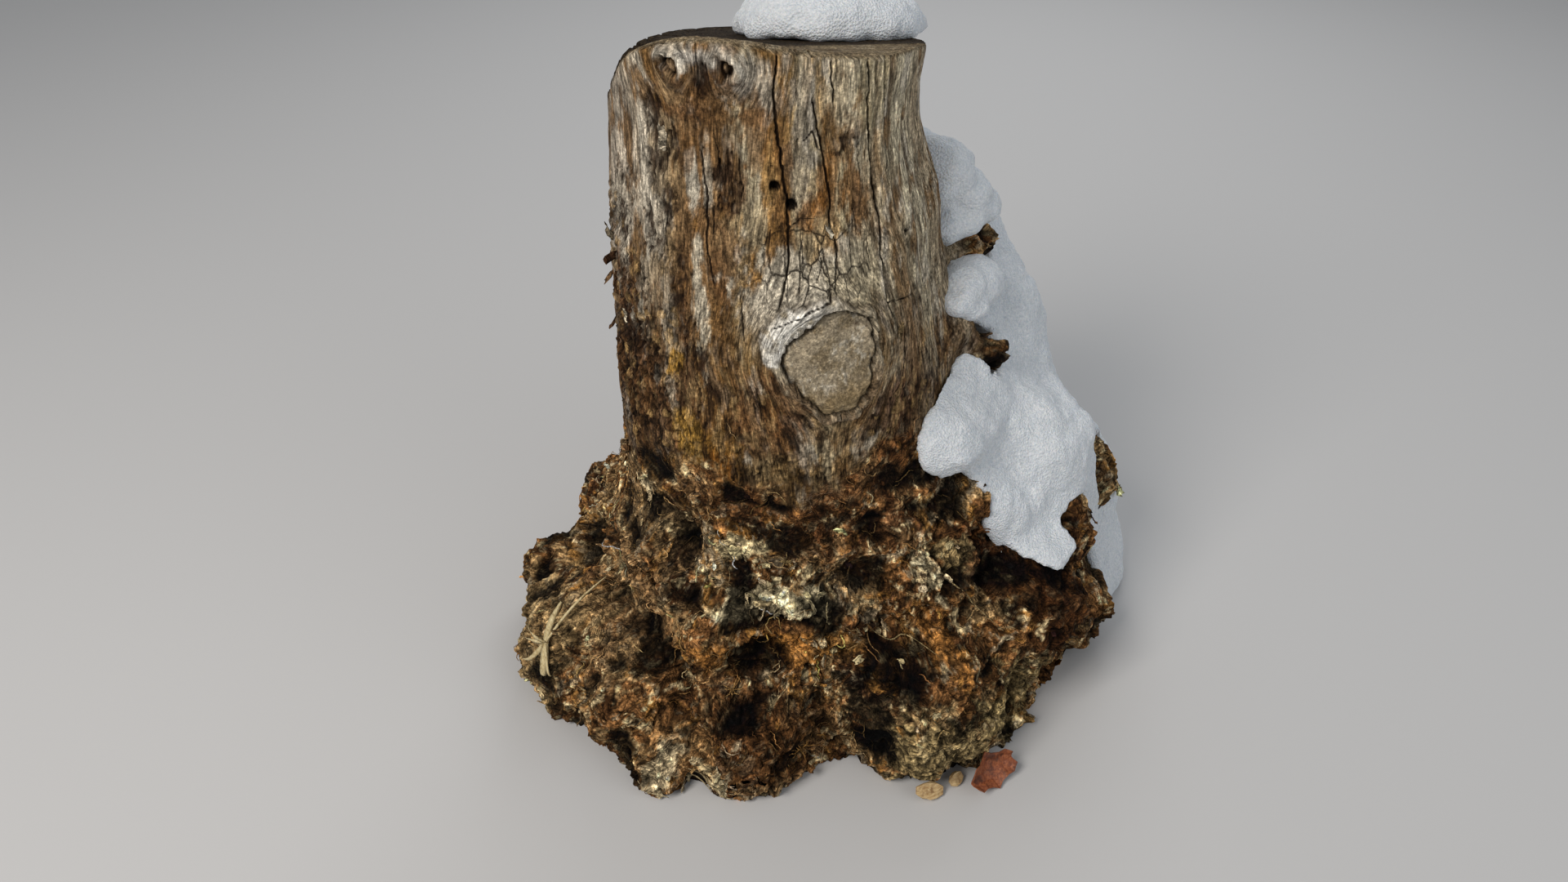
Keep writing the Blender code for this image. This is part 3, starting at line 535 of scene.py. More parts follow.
face_relief = -1.5 + 1.3 * rough_noise(base, 14, 121) + 0.6 * rough_noise(base, 5, 122) - 0.8 * (scar_z < -30)
collar_bulge = 3.4 * np.sin(np.pi * np.clip(collar_share, 0.0, 1.0)) + 0.8 * rough_noise(base, 10, 123)
relief = straight * trunk_relief * not_scar + burl_depth * burl_relief * not_scar + fillet * side
relief += scar_face * face_relief + scar_collar * collar_bulge - 5.0 * scar_gap - 1.2 * scar_edge
relief += (2.6 * knot_rim * (1.0 + 0.5 * knot_up) - 8.0 * knot_pit) * side
pith_x, pith_y = base[..., 0] - PITH[0], base[..., 1] - PITH[1]
pith_r = np.hypot(pith_x, pith_y) * 1000.0
pith_turn = np.arctan2(pith_y, pith_x)
spoke_place = np.stack((np.cos(pith_turn), np.sin(pith_turn), pith_r * 0), axis=-1)
spokes = np.abs(soft_noise(spoke_place, 130.0, 131) + 0.15 * soft_noise(base, 12, 133))
cut_checks = smooth((0.07 - spokes) / 0.07) * smooth((pith_r - 15) / 30) * on_cut
relief += on_cut * (0.7 * rough_noise(base, 12, 132)) - 2.5 * cut_checks
relief = np.clip(relief, DEEPEST, HIGHEST)
surface = base + normals * (relief / 1000.0)[..., None]
low = np.array(cad_box[0]) + INSIDE_BOX
high = np.array(cad_box[1]) - INSIDE_BOX
low[2] = 0.0
surface = np.clip(surface, low, high)
surface[0, :, 2] = 0.0
surface_normals = outward_normals(surface)

# The stump's wood: colours
# Weathered softwood goes from grey-white through tan to brown, with orange resin stains and dark rot.


def linear(colour):
    """A #rrggbb colour as linear red, green and blue."""
    parts = np.array([int(colour[n:n + 2], 16) for n in (1, 3, 5)]) / 255.0
    return np.where(parts <= 0.04045, parts / 12.92, ((parts + 0.055) / 1.055) ** 2.4)


def tint(tone, colour, share):
    return tone + (linear(colour) - tone) * np.clip(share, 0.0, 1.0)[..., None]


TRUNK_STREAKS = (
    (0, "#93856e"), (25, "#80705a"), (50, "#968870"), (80, "#7c6c56"), (110, "#958671"), (140, "#776753"),
    (170, "#94866f"), (196, "#a89a85"), (206, "#b2a695"), (218, "#b4a896"), (232, "#a8987f"),
    (241, "#967f5e"), (250, "#8c6b47"), (258, "#94744f"), (265, "#b09a74"), (271, "#8f6c40"),
    (276, "#9c7e52"), (283, "#c6b592"), (290, "#b3956a"), (297, "#d4c6a8"), (305, "#cfbf9f"),
    (312, "#a68a66"), (318, "#d3c5a6"), (330, "#d6c9ac"), (345, "#b4a286"), (360, "#93856e"),
)
STAINS = (  # azimuth, height, half width, half height, colour, strength
    (213, 0.420, 46, 88, "#6f4d2f", 0.95), (226, 0.360, 64, 60, "#6f4f30", 0.90),
    (236, 0.440, 26, 85, "#6a4c32", 0.65), (252, 0.420, 26, 90, "#76562f", 0.75),
    (262, 0.400, 24, 60, "#745030", 0.70), (228, 0.590, 7, 60, "#c9bfac", 0.95),
    (247, 0.500, 7, 50, "#c4b9a2", 0.95), (246.5, 0.610, 6, 26, "#cbc1ad", 0.95),
    (251.3, 0.618, 5, 30, "#c6bba6", 0.90), (266, 0.660, 11, 60, "#c0b394", 0.85),
    (265, 0.590, 12, 40, "#b5a88a", 0.70), (284, 0.680, 11, 40, "#a39a8b", 0.65),
    (281, 0.620, 9, 40, "#9c917e", 0.60), (296, 0.600, 12, 26, "#c3b592", 0.80),
    (310, 0.680, 16, 36, "#c0b18e", 0.75), (302, 0.595, 10, 34, "#8a5c28", 0.80),
    (252.6, 0.688, 24, 12, "#6c4f30", 0.80), (259, 0.612, 14, 26, "#6b4c30", 0.75),
    (244, 0.640, 7, 20, "#6d4e2e", 0.70), (276, 0.640, 7, 70, "#856038", 0.60),
    (268, 0.680, 9, 26, "#7f5932", 0.60), (236, 0.470, 12, 60, "#b9ad97", 0.70),
    (256, 0.540, 14, 34, "#6d4e31", 0.70), (262, 0.480, 12, 50, "#8d7650", 0.60),
    (282.5, 0.583, 9, 13, "#8f5d28", 0.65), (288, 0.590, 6, 10, "#8a5a2a", 0.60),
    (277, 0.560, 6, 24, "#8a5f30", 0.50), (292, 0.610, 10, 26, "#8f5f2c", 0.65),
    (237, 0.440, 10, 16, "#bd8f3c", 0.90), (246, 0.345, 26, 34, "#a3783a", 0.80),
    (240, 0.365, 13, 24, "#c2974a", 0.85), (250, 0.330, 14, 26, "#8f551b", 0.70),
    (231, 0.315, 14, 18, "#8a5c22", 0.75), (283, 0.530, 52, 26, "#cfc4ae", 0.90),
    (276, 0.505, 40, 22, "#cbc0ab", 0.80), (298, 0.520, 30, 30, "#b7a98a", 0.65),
    (268, 0.330, 50, 26, "#6a5534", 0.60), (272, 0.420, 22, 45, "#6a482a", 0.70),
    (304, 0.385, 40, 34, "#64432a", 0.80), (318, 0.440, 18, 60, "#74563a", 0.55),
    (290, 0.375, 50, 18, "#6a5030", 0.65), (222, 0.470, 4, 22, "#c6bda9", 0.90),
    (217, 0.455, 5, 12, "#cac2b0", 0.90), (262, 0.690, 22, 12, "#7d6040", 0.70),
    (248, 0.672, 22, 10, "#684a2e", 0.75), (250, 0.716, 20, 8, "#bcb6ab", 0.85),
    (266, 0.702, 10, 18, "#b0aa9e", 0.70), (252.2, 0.698, 8, 16, "#3b2817", 0.85),
    (268, 0.655, 12, 34, "#7e5529", 0.65), (303, 0.650, 5, 12, "#6a4c30", 0.50),
    (256, 0.640, 16, 40, "#7b5c38", 0.45),
)
tone = np.zeros(base.shape)
streak_shift = 5.0 * soft_noise(flow, 16, 201, 4.0) + 1.5 * soft_noise(flow, 4, 202, 12.0)
streak_azimuth = (np.degrees(flow_angle) + streak_shift) % 360.0
for channel in range(3):
    tone[..., channel] = np.interp(streak_azimuth, [a for a, _ in TRUNK_STREAKS],
                                   [linear(c)[channel] for _, c in TRUNK_STREAKS])
fleck = rough_noise(flow, 5, 203, 7.0, 4, 0.7)
tone *= np.exp(0.36 * fleck)[..., None]
pale_patch = rough_noise(flow, 24, 208, 2.6, 5, 0.62)
brown_patch = rough_noise(flow, 19, 209, 2.4, 5, 0.64)
tone = tint(tone, "#c9beaa", 0.80 * smooth((pale_patch - 0.05) / 0.30))
tone = tint(tone, "#735637", 0.70 * smooth((brown_patch - 0.14) / 0.26))
tone = tint(tone, "#84602f", 0.45 * smooth((brown_patch - 0.44) / 0.12))
lower_brown = smooth((0.54 - height) / 0.18) * smooth(rough_noise(base, 24, 204, 4.0) + 0.5)
tone = tint(tone, "#5b4026", 0.80 * lower_brown)
stain_edge = 0.70 * rough_noise(flow, 12, 205, 2.2, 4, 0.7)
for *patch, colour, strength in STAINS:
    tone = tint(tone, colour, strength * smooth((1.25 - zone(*patch) + stain_edge) / 0.55))
tone *= (0.94 + 0.18 * ribs)[..., None]
rot = rough_noise(flow, 8, 237, 2.6, 4, 0.72)
rot_from, rot_to = np.percentile(rot, (66, 90))
low_down = smooth((0.53 - height) / 0.12)
tone = tint(tone, "#22170e", (0.40 + 0.42 * low_down) * smooth((rot - rot_from) / (rot_to - rot_from)))
sound_to, sound_from = np.percentile(rot, (6, 24))
tone = tint(tone, "#b7996b", 0.50 * low_down * smooth((sound_from - rot) / (sound_from - sound_to)))
tone = tint(tone, "#2e2016", 0.92 * worn * smooth(0.85 + rough_noise(base, 5, 206, 1.6)))
tone = tint(tone, "#978a78", 0.35 * worn * smooth(rough_noise(base, 5, 207, 2.0) - 0.15))
tone = tint(tone, "#241810", 0.60 * smooth(0.9 - np.abs(worn_field + 0.05) / 0.10) * straight * not_scar)
# Painted shade in the bottoms of the grooves on the right third
tone = tint(tone, "#54402a", 0.55 * smooth(grooves * -2.5 - 0.8) * right_third)
# In the rotten crust each crumb has its own tone, and its edges are darkened with painted shade
crust_tone_and_seam_shade = (0.55 + 0.75 * crumb_number) * (1.0 - 0.75 * smooth(1.0 - crumb_edge / 0.22))
tone = tone * (1.0 + (crust_tone_and_seam_shade - 1.0) * rotten)[..., None]
tone = tint(tone, "#a98a5a", 0.6 * rotten * (crumb_number > 0.9))

# Some dark entries make the burl's right flank, its foot and its top darker
BURL_PATCHES = (  # azimuth, height, half width, half height, colour, strength
    (258, 0.246, 34, 12, "#b9a880", 0.85), (268, 0.190, 32, 13, "#d3c39c", 0.97),
    (257, 0.186, 18, 12, "#cbbb95", 0.95), (277, 0.196, 16, 13, "#d0c19b", 0.95),
    (274, 0.140, 30, 16, "#9c6c36", 0.80), (283, 0.145, 20, 16, "#a5773f", 0.70),
    (253, 0.140, 24, 14, "#8f6230", 0.70), (306, 0.150, 14, 30, "#8c6030", 0.75),
    (308.5, 0.214, 11, 22, "#c9b993", 0.95), (300, 0.060, 85, 40, "#7c6c4a", 0.85),
    (318, 0.060, 60, 42, "#786846", 0.80), (334, 0.150, 50, 66, "#361f0e", 0.90),
    (322, 0.215, 44, 32, "#422612", 0.80), (316, 0.220, 18, 16, "#ab9568", 0.60),
    (288, 0.075, 18, 46, "#150e09", 0.90), (262, 0.100, 16, 18, "#20150d", 0.70),
    (236, 0.222, 16, 34, "#150e09", 0.90), (287, 0.212, 14, 10, "#1a110b", 0.80),
    (222, 0.150, 60, 60, "#846a49", 0.60), (206, 0.080, 60, 50, "#8b7551", 0.65),
    (214, 0.260, 60, 40, "#7d694a", 0.60), (268, 0.055, 70, 34, "#4a3019", 0.80),
    (255, 0.095, 40, 24, "#4e341d", 0.70), (245, 0.045, 40, 26, "#84643f", 0.60),
    (245, 0.030, 14, 22, "#bfae8b", 0.80), (256, 0.020, 10, 18, "#c5b693", 0.80),
    (300, 0.320, 60, 30, "#55361d", 0.75), (282, 0.345, 40, 16, "#806440", 0.50),
    (262, 0.300, 90, 18, "#4e331c", 0.70), (286, 0.262, 60, 24, "#553720", 0.60),
    (218, 0.275, 14, 10, "#b9a987", 0.80),
)
burl_tone = np.broadcast_to(linear("#6d4c2c"), base.shape)
burl_edge = 0.85 * where_needed(curly, lambda p, m: rough_noise(swirl[m], 15, 213, 1.0, 4, 0.75))
for colour, size, seed, least, strength in (
        ("#957b55", 40, 211, 0.00, 0.80), ("#3a2413", 30, 212, 0.12, 0.80), ("#86602f", 20, 214, 0.32, 0.75),
        ("#bfab82", 12, 215, 0.34, 0.90), ("#22150c", 10, 216, 0.40, 0.75), ("#8a7c64", 14, 217, 0.36, 0.80)):
    patch = where_needed(curly, lambda p, m: rough_noise(swirl[m], size, seed, 1.0, 5, 0.68))
    burl_tone = tint(burl_tone, colour, strength * smooth((patch - least) / 0.12))
for *patch, colour, strength in BURL_PATCHES:
    burl_tone = tint(burl_tone, colour, strength * smooth((1.20 - zone(*patch) + burl_edge) / 0.30))
burl_tone = burl_tone * np.exp(0.45 * fibre + 0.40 * fibre_fine)[..., None]
# Painted shade: the burl's tone is darkened in the valleys of its folds, along the seams between flakes and
# in the hollows
small_low, small_high = np.percentile(fold_small[curly > 0.5], (8, 52))
painted_burl_shade = smooth((fold - fold_low) / (fold_high - fold_low))
painted_small_fold_shade = smooth((fold_small - small_low) / (small_high - small_low))
painted_burl_shade = (0.07 + 0.93 * painted_burl_shade) * (0.30 + 0.70 * painted_small_fold_shade)
painted_burl_shade = painted_burl_shade * (1 - 0.45 * big_seam) * (1 - 0.25 * mid_seam) * (1 - 0.8 * hollow)
burl_tone = burl_tone * (1.68 * painted_burl_shade)[..., None]
burl_tone = burl_tone * np.exp(0.30 * crumb)[..., None]
tone = tone + (burl_tone - tone) * (curly * not_scar)[..., None]

face_tone = np.broadcast_to(linear("#a4967e"), base.shape)
face_tone = tint(face_tone, "#7b6b50", 0.70 * smooth(rough_noise(base, 18, 221, 1.0, 5, 0.7) * 2.0 + 0.1))
face_tone = tint(face_tone, "#c9c1b0", 0.70 * smooth(rough_noise(base, 11, 230, 1.0, 5, 0.75) * 2.4 - 0.5))
face_tone = tint(face_tone, "#857253", 0.8 * smooth((-22 - scar_z + 6 * soft_noise(base, 10, 222)) / 14.0))
face_tone = tint(face_tone, "#4f3b28", 0.8 * smooth(rough_noise(base, 4, 223) * 3.0 - 1.9))
face_tone = face_tone * np.exp(0.16 * rough_noise(base, 4, 224))[..., None]
collar_light = smooth((scar_angle - 60.0) / 60.0) * smooth(1.3 - np.abs(collar_share - 0.5) * 1.6)
collar_tone = np.broadcast_to(linear("#ada088"), base.shape)
collar_tone = tint(collar_tone, "#e4dfd4", collar_light * smooth(0.9 + rough_noise(base, 8, 227)))
collar_tone = collar_tone * np.exp(0.22 * rough_noise(base, 5, 225))[..., None]
tone = tone + (face_tone - tone) * scar_face[..., None]
# Painted shade: the collar's lower side is darker
painted_shade_low_side = smooth((5.0 - scar_angle) / 40.0) * smooth((scar_angle + 175.0) / 20.0)
collar_tone = tint(collar_tone, "#6f5437", 0.75 * painted_shade_low_side * smooth(0.8 + rough_noise(base, 8, 234)))
tone = tone + (collar_tone - tone) * scar_collar[..., None]
# Painted shade in the gap between the branch's face and its collar, and along the groove at the collar's
# outer edge
gap_painted_shade = (0.97 - 0.4 * painted_shade_low_side) * smooth(0.9 + 0.8 * rough_noise(base, 9, 235))
tone = tint(tone, "#1d150f", gap_painted_shade * np.exp(-(((scar_r - face_r) / 1.4) ** 2)))
tone = tint(tone, "#3a2b1e", 0.60 * scar_edge * smooth(0.7 + rough_noise(base, 10, 226)))
# Painted light on the knots: the rims' upper sides get a painted highlight, their under sides painted shade,
# and the pit round each core is darkened with painted shade
rim_lit = smooth(0.55 + 0.9 * knot_up + rough_noise(base, 6, 228))
rim_painted_shade = smooth(0.15 - 1.1 * knot_up + rough_noise(base, 6, 229))
tone = tint(tone, "#c9c2b3", 0.80 * knot_rim * side * rim_lit)
tone = tint(tone, "#4a3524", 0.75 * knot_rim * side * rim_painted_shade)
tone = tint(tone, "#1f150e", 0.95 * smooth((8.5 - knot_r) / 2.0) * side)
tone = tint(tone, "#8b7458", 0.75 * knot_core * side)

cut_rings = 0.5 + 0.5 * np.sin(pith_r / 2.4 + 1.5 * rough_noise(base, 20, 231))
cut_tone = np.broadcast_to(linear("#8a7a5f"), base.shape)
cut_tone = tint(cut_tone, "#54422e", 0.45 * cut_rings + 0.5 * smooth(rough_noise(base, 30, 232)))
cut_tone = tint(cut_tone, "#b0a38a", 0.5 * smooth(rough_noise(base, 10, 233) * 1.5))
# The cut face is darker from a ragged line in front of the snow cap to the back
darker_by_cap_edge = 0.046 + 0.006 * rough_noise(base, 14, 236) + 0.25 * (0.02 - base[..., 0])
darker_by_cap = smooth((base[..., 1] + darker_by_cap_edge) / 0.014)
cut_tone = tint(cut_tone, "#1d140e", 0.90 * darker_by_cap)
# Painted shade in the checks of the cut top
cut_tone = tint(cut_tone, "#1f1610", 0.85 * cut_checks)
tone = tone * side[..., None] + cut_tone * on_cut[..., None]
# Painted shade: the borings are nearly black inside
tone = tint(tone, "#0d0906", 0.97 * smooth(0.9 - hole_gap / 0.8) * side)
craquelure = np.exp(-(zone(284, 0.540, 60, 50) ** 4)) * straight * not_scar

# The stump's wood: material
# Weathered softwood, rough and dry, never glossy. Grain lines are 1 to 4 mm wide and run up the trunk.
# In the burl the fibres curl round swellings and lie in flakes that point every way. Sizes are in mm.
GRAIN_WIDTH = 2.6
FINE_GRAIN_WIDTH = 1.1
GRAIN_DRAWN_OUT = 0.10
MOTTLE_SIZE = 2.6
TURN_SIZE = 13.0
TURN_BY = 0.030  # how far the burl's patterns are pushed about, in metres
FLAKE_WIDTH = 15.0
FIBRE_WIDTH = 3.0
FIBRE_DRAWN_OUT = 0.16
SWELL_WIDTH = 30.0
CURLS_PER_SWELL = 15.0
CURL_WIDTH = 9.0
CONTRAST = 1.6
CRAQUELURE_BLOCK = 15.0
CRACK_SHADE_PAINTED = "#1a120c"


def node(tree, kind, inputs=(), out=0, **settings):
    """Adds a node with its settings and inputs, given as socket and value, and gives an output."""
    made = tree.nodes.new("ShaderNode" + kind)
    for name, value in settings.items():
        setattr(made, name, value)
    for socket, value in dict(inputs).items():
        if isinstance(value, bpy.types.NodeSocket):
            tree.links.new(value, made.inputs[socket])
        else:
            made.inputs[socket].default_value = value
    return made.outputs[out]


def new_material(name, roughness):
    made = bpy.data.materials.new(name)
    made.use_nodes = True
    tree = made.node_tree
    shader = tree.nodes["Principled BSDF"]
    shader.inputs["Roughness"].default_value = roughness
    return made, tree, shader


def per_metre(size_mm):
    """A pattern scale for features of this size."""
    return 1000.0 / size_mm


def colour4(colour):
    return (*linear(colour), 1.0)


wood_material, tree, shader = new_material("weathered_softwood", 0.84)
shader.inputs["Specular IOR Level"].default_value = 0.08
shader.inputs["Metallic"].default_value = 0.0
object_place = node(tree, "TexCoord", out="Object")
tone_colour = node(tree, "Attribute", out="Color", attribute_name="tone")
flow_place = node(tree, "Attribute", out="Vector", attribute_name="flow")
curly_share, crack_mm, block_share, plain_share = (
    node(tree, "Attribute", out="Fac", attribute_name=name) for name in ("curly", "crack", "blocks", "plain"))

# Straight grain: each pattern is stretched from its usual range to a factor of brightness
upright = node(tree, "Mapping", {0: flow_place, 3: (1.0, 1.0, GRAIN_DRAWN_OUT)})
grain = node(tree, "TexNoise", {"Vector": upright, "Scale": per_metre(GRAIN_WIDTH), "Detail": 5.0,
                                "Roughness": 0.62})
fine_grain = node(tree, "TexNoise", {"Vector": upright, "Scale": per_metre(FINE_GRAIN_WIDTH), "Detail": 3.0,
                                     "Roughness": 0.6})
mottle = node(tree, "TexNoise", {"Vector": object_place, "Scale": per_metre(MOTTLE_SIZE), "Detail": 4.0,
                                 "Roughness": 0.7})
straight_light = node(tree, "MapRange", {0: grain, 1: 0.34, 2: 0.66, 3: 0.50, 4: 1.38})
fine_light = node(tree, "MapRange", {0: fine_grain, 1: 0.3, 2: 0.7, 3: 0.6, 4: 1.34})
mottle_light = node(tree, "MapRange", {0: mottle, 1: 0.3, 2: 0.7, 3: 0.58, 4: 1.40})
for more in (fine_light, mottle_light):
    straight_light = node(tree, "Math", {0: straight_light, 1: more}, operation="MULTIPLY")

# Curly grain: flakes whose fibres each lie their own way, and curls that wind round the swellings
turning = node(tree, "TexNoise", {"Vector": object_place, "Scale": per_metre(TURN_SIZE), "Detail": 3.0,
                                  "Roughness": 0.6}, out="Color")
turned = node(tree, "VectorMath", {0: turning, 1: (0.5, 0.5, 0.5)}, operation="SUBTRACT")
turned = node(tree, "VectorMath", {0: turned, "Scale": TURN_BY}, operation="SCALE")
curled_place = node(tree, "VectorMath", {0: object_place, 1: turned}, operation="ADD")
flake_place = {"Vector": curled_place, "Scale": per_metre(FLAKE_WIDTH)}
flake_colour = node(tree, "TexVoronoi", flake_place, out="Color")
to_edge = node(tree, "TexVoronoi", flake_place, out="Distance", feature="DISTANCE_TO_EDGE")
lean = node(tree, "VectorMath", {0: flake_colour, "Scale": 12.0}, operation="SCALE")
turned_place = node(tree, "VectorRotate", {"Vector": curled_place, "Rotation": lean},
                    rotation_type="EULER_XYZ")
drawn = node(tree, "Mapping", {0: turned_place, 3: (1.0, 1.0, FIBRE_DRAWN_OUT)})
fibres = node(tree, "TexNoise", {"Vector": drawn, "Scale": per_metre(FIBRE_WIDTH), "Detail": 3.0,
                                 "Roughness": 0.6})
own = node(tree, "SeparateColor", {0: flake_colour})
flake_light = node(tree, "MapRange", {0: fibres, 1: 0.34, 2: 0.66, 3: 0.28, 4: 1.7})
own_light = node(tree, "MapRange", {0: own, 1: 0.0, 2: 1.0, 3: 0.72, 4: 1.25})
# Painted shade darkens each flake along its edges
edge_painted_shade = node(tree, "MapRange", {0: to_edge, 1: 0.0, 2: 0.06, 3: 0.45, 4: 1.03})
for more in (own_light, edge_painted_shade):
    flake_light = node(tree, "Math", {0: flake_light, 1: more}, operation="MULTIPLY")
swell = node(tree, "TexNoise", {"Vector": object_place, "Scale": per_metre(SWELL_WIDTH), "Detail": 2.0,
                                "Roughness": 0.55, "Distortion": 1.2})
winding = node(tree, "Math", {0: swell, 1: CURLS_PER_SWELL}, operation="MULTIPLY")
frayed = node(tree, "MapRange", {0: fibres, 1: 0.0, 2: 1.0, 3: 0.0, 4: 1.6})
winding = node(tree, "Math", {0: winding, 1: frayed}, operation="ADD")
curls = node(tree, "Math", {0: winding, 1: 1.0}, operation="PINGPONG")
curls_light = node(tree, "MapRange", {0: curls, 1: 0.05, 2: 0.95, 3: 0.42, 4: 1.48})
curly_light = node(tree, "Mix", {0: 0.55, 2: flake_light, 3: curls_light}, data_type="FLOAT")
curly_height = node(tree, "Math", {0: fibres, 1: curls}, operation="ADD")
curl = node(tree, "TexNoise", {"Vector": curled_place, "Scale": per_metre(CURL_WIDTH), "Detail": 6.0,
                               "Roughness": 0.68})
curl_light = node(tree, "MapRange", {0: curl, 1: 0.36, 2: 0.64, 3: 0.40, 4: 1.55})
curly_light = node(tree, "Math", {0: curly_light, 1: curl_light}, operation="MULTIPLY")
light = node(tree, "Mix", {0: curly_share, 2: straight_light, 3: curly_light}, data_type="FLOAT")
light = node(tree, "Math", {0: light, 1: CONTRAST}, operation="POWER")
light = node(tree, "Mix", {0: plain_share, 2: light, 3: 1.0}, data_type="FLOAT")
shaded = node(tree, "VectorMath", {0: tone_colour, "Scale": light}, operation="SCALE")

# Painted shade: dark lines in the checks, and in the net of fine cracks round the blocks above the scar
gently = node(tree, "VectorMath", {0: turned, "Scale": 0.22}, operation="SCALE")
gently = node(tree, "VectorMath", {0: object_place, 1: gently}, operation="ADD")
upright_blocks = node(tree, "Mapping", {0: gently, 3: (1.0, 1.0, 0.5)})
blocks = node(tree, "TexVoronoi", {"Vector": upright_blocks, "Scale": per_metre(CRAQUELURE_BLOCK)},
              out="Distance", feature="DISTANCE_TO_EDGE")
block_painted_shade = node(tree, "MapRange", {0: blocks, 1: 0.008, 2: 0.046, 3: 0.90, 4: 0.0})
block_painted_shade = node(tree, "Math", {0: block_painted_shade, 1: block_share}, operation="MULTIPLY")
check_painted_shade = node(tree, "MapRange", {0: crack_mm, 1: -0.1, 2: 0.5, 3: 0.95, 4: 0.0})
painted_crack_shade = node(tree, "Math", {0: check_painted_shade, 1: block_painted_shade}, operation="MAXIMUM")
coloured = node(tree, "Mix", {0: painted_crack_shade, 6: shaded, 7: colour4(CRACK_SHADE_PAINTED)}, out=2, data_type="RGBA")
tree.links.new(coloured, shader.inputs["Base Color"])
straight_height = node(tree, "Math", {0: grain, 1: fine_grain}, operation="ADD")
wood_height = node(tree, "Mix", {0: curly_share, 2: straight_height, 3: curly_height}, data_type="FLOAT")
wood_height = node(tree, "Math", {0: wood_height, 1: painted_crack_shade}, operation="SUBTRACT")
bump = node(tree, "Bump", {"Height": wood_height, "Strength": 0.8, "Distance": 0.0018})
tree.links.new(bump, shader.inputs["Normal"])


def new_object(name, points, faces, values, material):
    """A smooth mesh with its values at each point, put into the scene."""
    data = bpy.data.meshes.new(name)
    data.from_pydata(np.asarray(points).tolist(), [], faces)
    for key, value in values.items():
        flat = np.asarray(value, dtype=np.float32).reshape(len(points), -1)
        if key == "flow":
            data.attributes.new(key, "FLOAT_VECTOR", "POINT").data.foreach_set("vector", flat.ravel())
        elif flat.shape[1] == 3:
            flat = np.hstack((flat, np.ones((len(flat), 1), dtype=np.float32)))
            data.attributes.new(key, "FLOAT_COLOR", "POINT").data.foreach_set("color", flat.ravel())
        else:
            data.attributes.new(key, "FLOAT", "POINT").data.foreach_set("value", flat.ravel())
    data.shade_smooth()
    data.materials.append(material)
    made = bpy.data.objects.new(name, data)
    bpy.context.scene.collection.objects.link(made)
    return made


def wall_faces(number):
    """The faces between rows of point numbers, where each row closes on itself."""
    right = np.roll(number, -1, 1)
    return np.stack((number[:-1], right[:-1], right[1:], number[1:]), axis=-1).reshape(-1, 4).tolist()


def grown(piece, solid):
    """Has the piece ride with the stump and stand for a solid."""
    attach(piece, "root")
    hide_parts(solid)


values = {"tone": np.clip(tone, 0.002, 0.95), "flow": flow, "curly": curly, "crack": crack_gap,
          "blocks": craquelure, "plain": 0.35 * scar_face}
first_row = 0
for index, (name, _, _, rows) in enumerate(BANDS):
    last_row = first_row + rows - (index > 0)
    start = max(first_row - 1, 0)
    stop = len(surface) if index == len(BANDS) - 1 else last_row
    points = surface[start:stop]
    parts = {key: value[start:stop] for key, value in values.items()}
    if index == 0:
        under = np.array([points[0] * (s, s, 0.0) for s in (0.15, 0.6, 0.9)])
        points = np.concatenate((under, points))
        parts = {key: np.concatenate((np.repeat(v[:1], 3, axis=0), v)) for key, v in parts.items()}
    number = np.arange(len(points) * COLUMNS).reshape(-1, COLUMNS)
    faces = wall_faces(number)
    flat_points = points.reshape(-1, 3)
    flat_parts = {key: v.reshape(len(flat_points), -1) for key, v in parts.items()}
    for end, at, turned_over in ((0, 0, True), (len(BANDS) - 1, -1, False)):
        if index == end:
            flat_points = np.vstack((flat_points, points[at].mean(axis=0)))
            flat_parts = {key: np.vstack((v, parts[key][at].reshape(COLUMNS, -1).mean(axis=0)))
                          for key, v in flat_parts.items()}
            pairs = zip(number[at], np.roll(number[at], -1))
            faces += [(int(b), int(a), len(flat_points) - 1) if turned_over else
                      (int(a), int(b), len(flat_points) - 1) for a, b in pairs]
    grown(new_object(name, flat_points, faces, flat_parts, wood_material), "stump_wood")
    first_row = last_row

# The burl's loose flakes
# Rot has split the burl's curly grain into thin curled flakes, most of them 6 to 16 mm long, that still
# hang on by one end. They are of the same wood as what they hang on, and paler where the sun has got at it.
FLAKES = 260
PALE_WOOD = "#d8c8a0"
PALE_FLAKES = (  # azimuth, height, spread in mm, number, length
    (263, 0.188, 17, 8, 17), (275, 0.196, 12, 6, 15), (258, 0.245, 16, 6, 13), (276, 0.140, 16, 7, 13),
    (309, 0.215, 8, 3, 14), (250, 0.022, 12, 5, 14), (257, 0.030, 10, 5, 13), (312, 0.232, 12, 4, 11),
    (218, 0.272, 10, 4, 10), (207, 0.160, 14, 4, 13), (290, 0.120, 18, 5, 11),
)
HANGING = (  # azimuth, height, length, width, turn from level, lift, curl, colour
    (201, 0.524, 17, 11, 170, 0.50, -0.70, "#a4957b"),
    (203, 0.505, 15, 8, 200, 0.80, 0.60, "#4a3322"), (206, 0.485, 22, 9, -90, 0.15, 0.50, "#5e452e"),
    (198, 0.480, 18, 9, -95, 0.20, 0.60, "#6b5238"), (210, 0.455, 16, 8, -80, 0.25, 0.50, "#b8ad97"),
    (196, 0.430, 20, 10, -90, 0.25, 0.50, "#59402a"), (237, 0.655, 26, 8, -88, 0.10, 0.30, "#b0a48e"),
    (308.7, 0.225, 24, 13, -60, 0.50, 3.60, "#c6b997"), (290, 0.573, 14, 6, -88, 0.18, 0.30, "#cabfa8"),
    (312, 0.452, 20, 6, 85, 0.10, 0.25, "#8b7654"),
)
STEPS_ALONG = 5
STEPS_ACROSS = 4
FLAKE_THICKNESS = 0.55
FLAKE_SUNK = 1.3

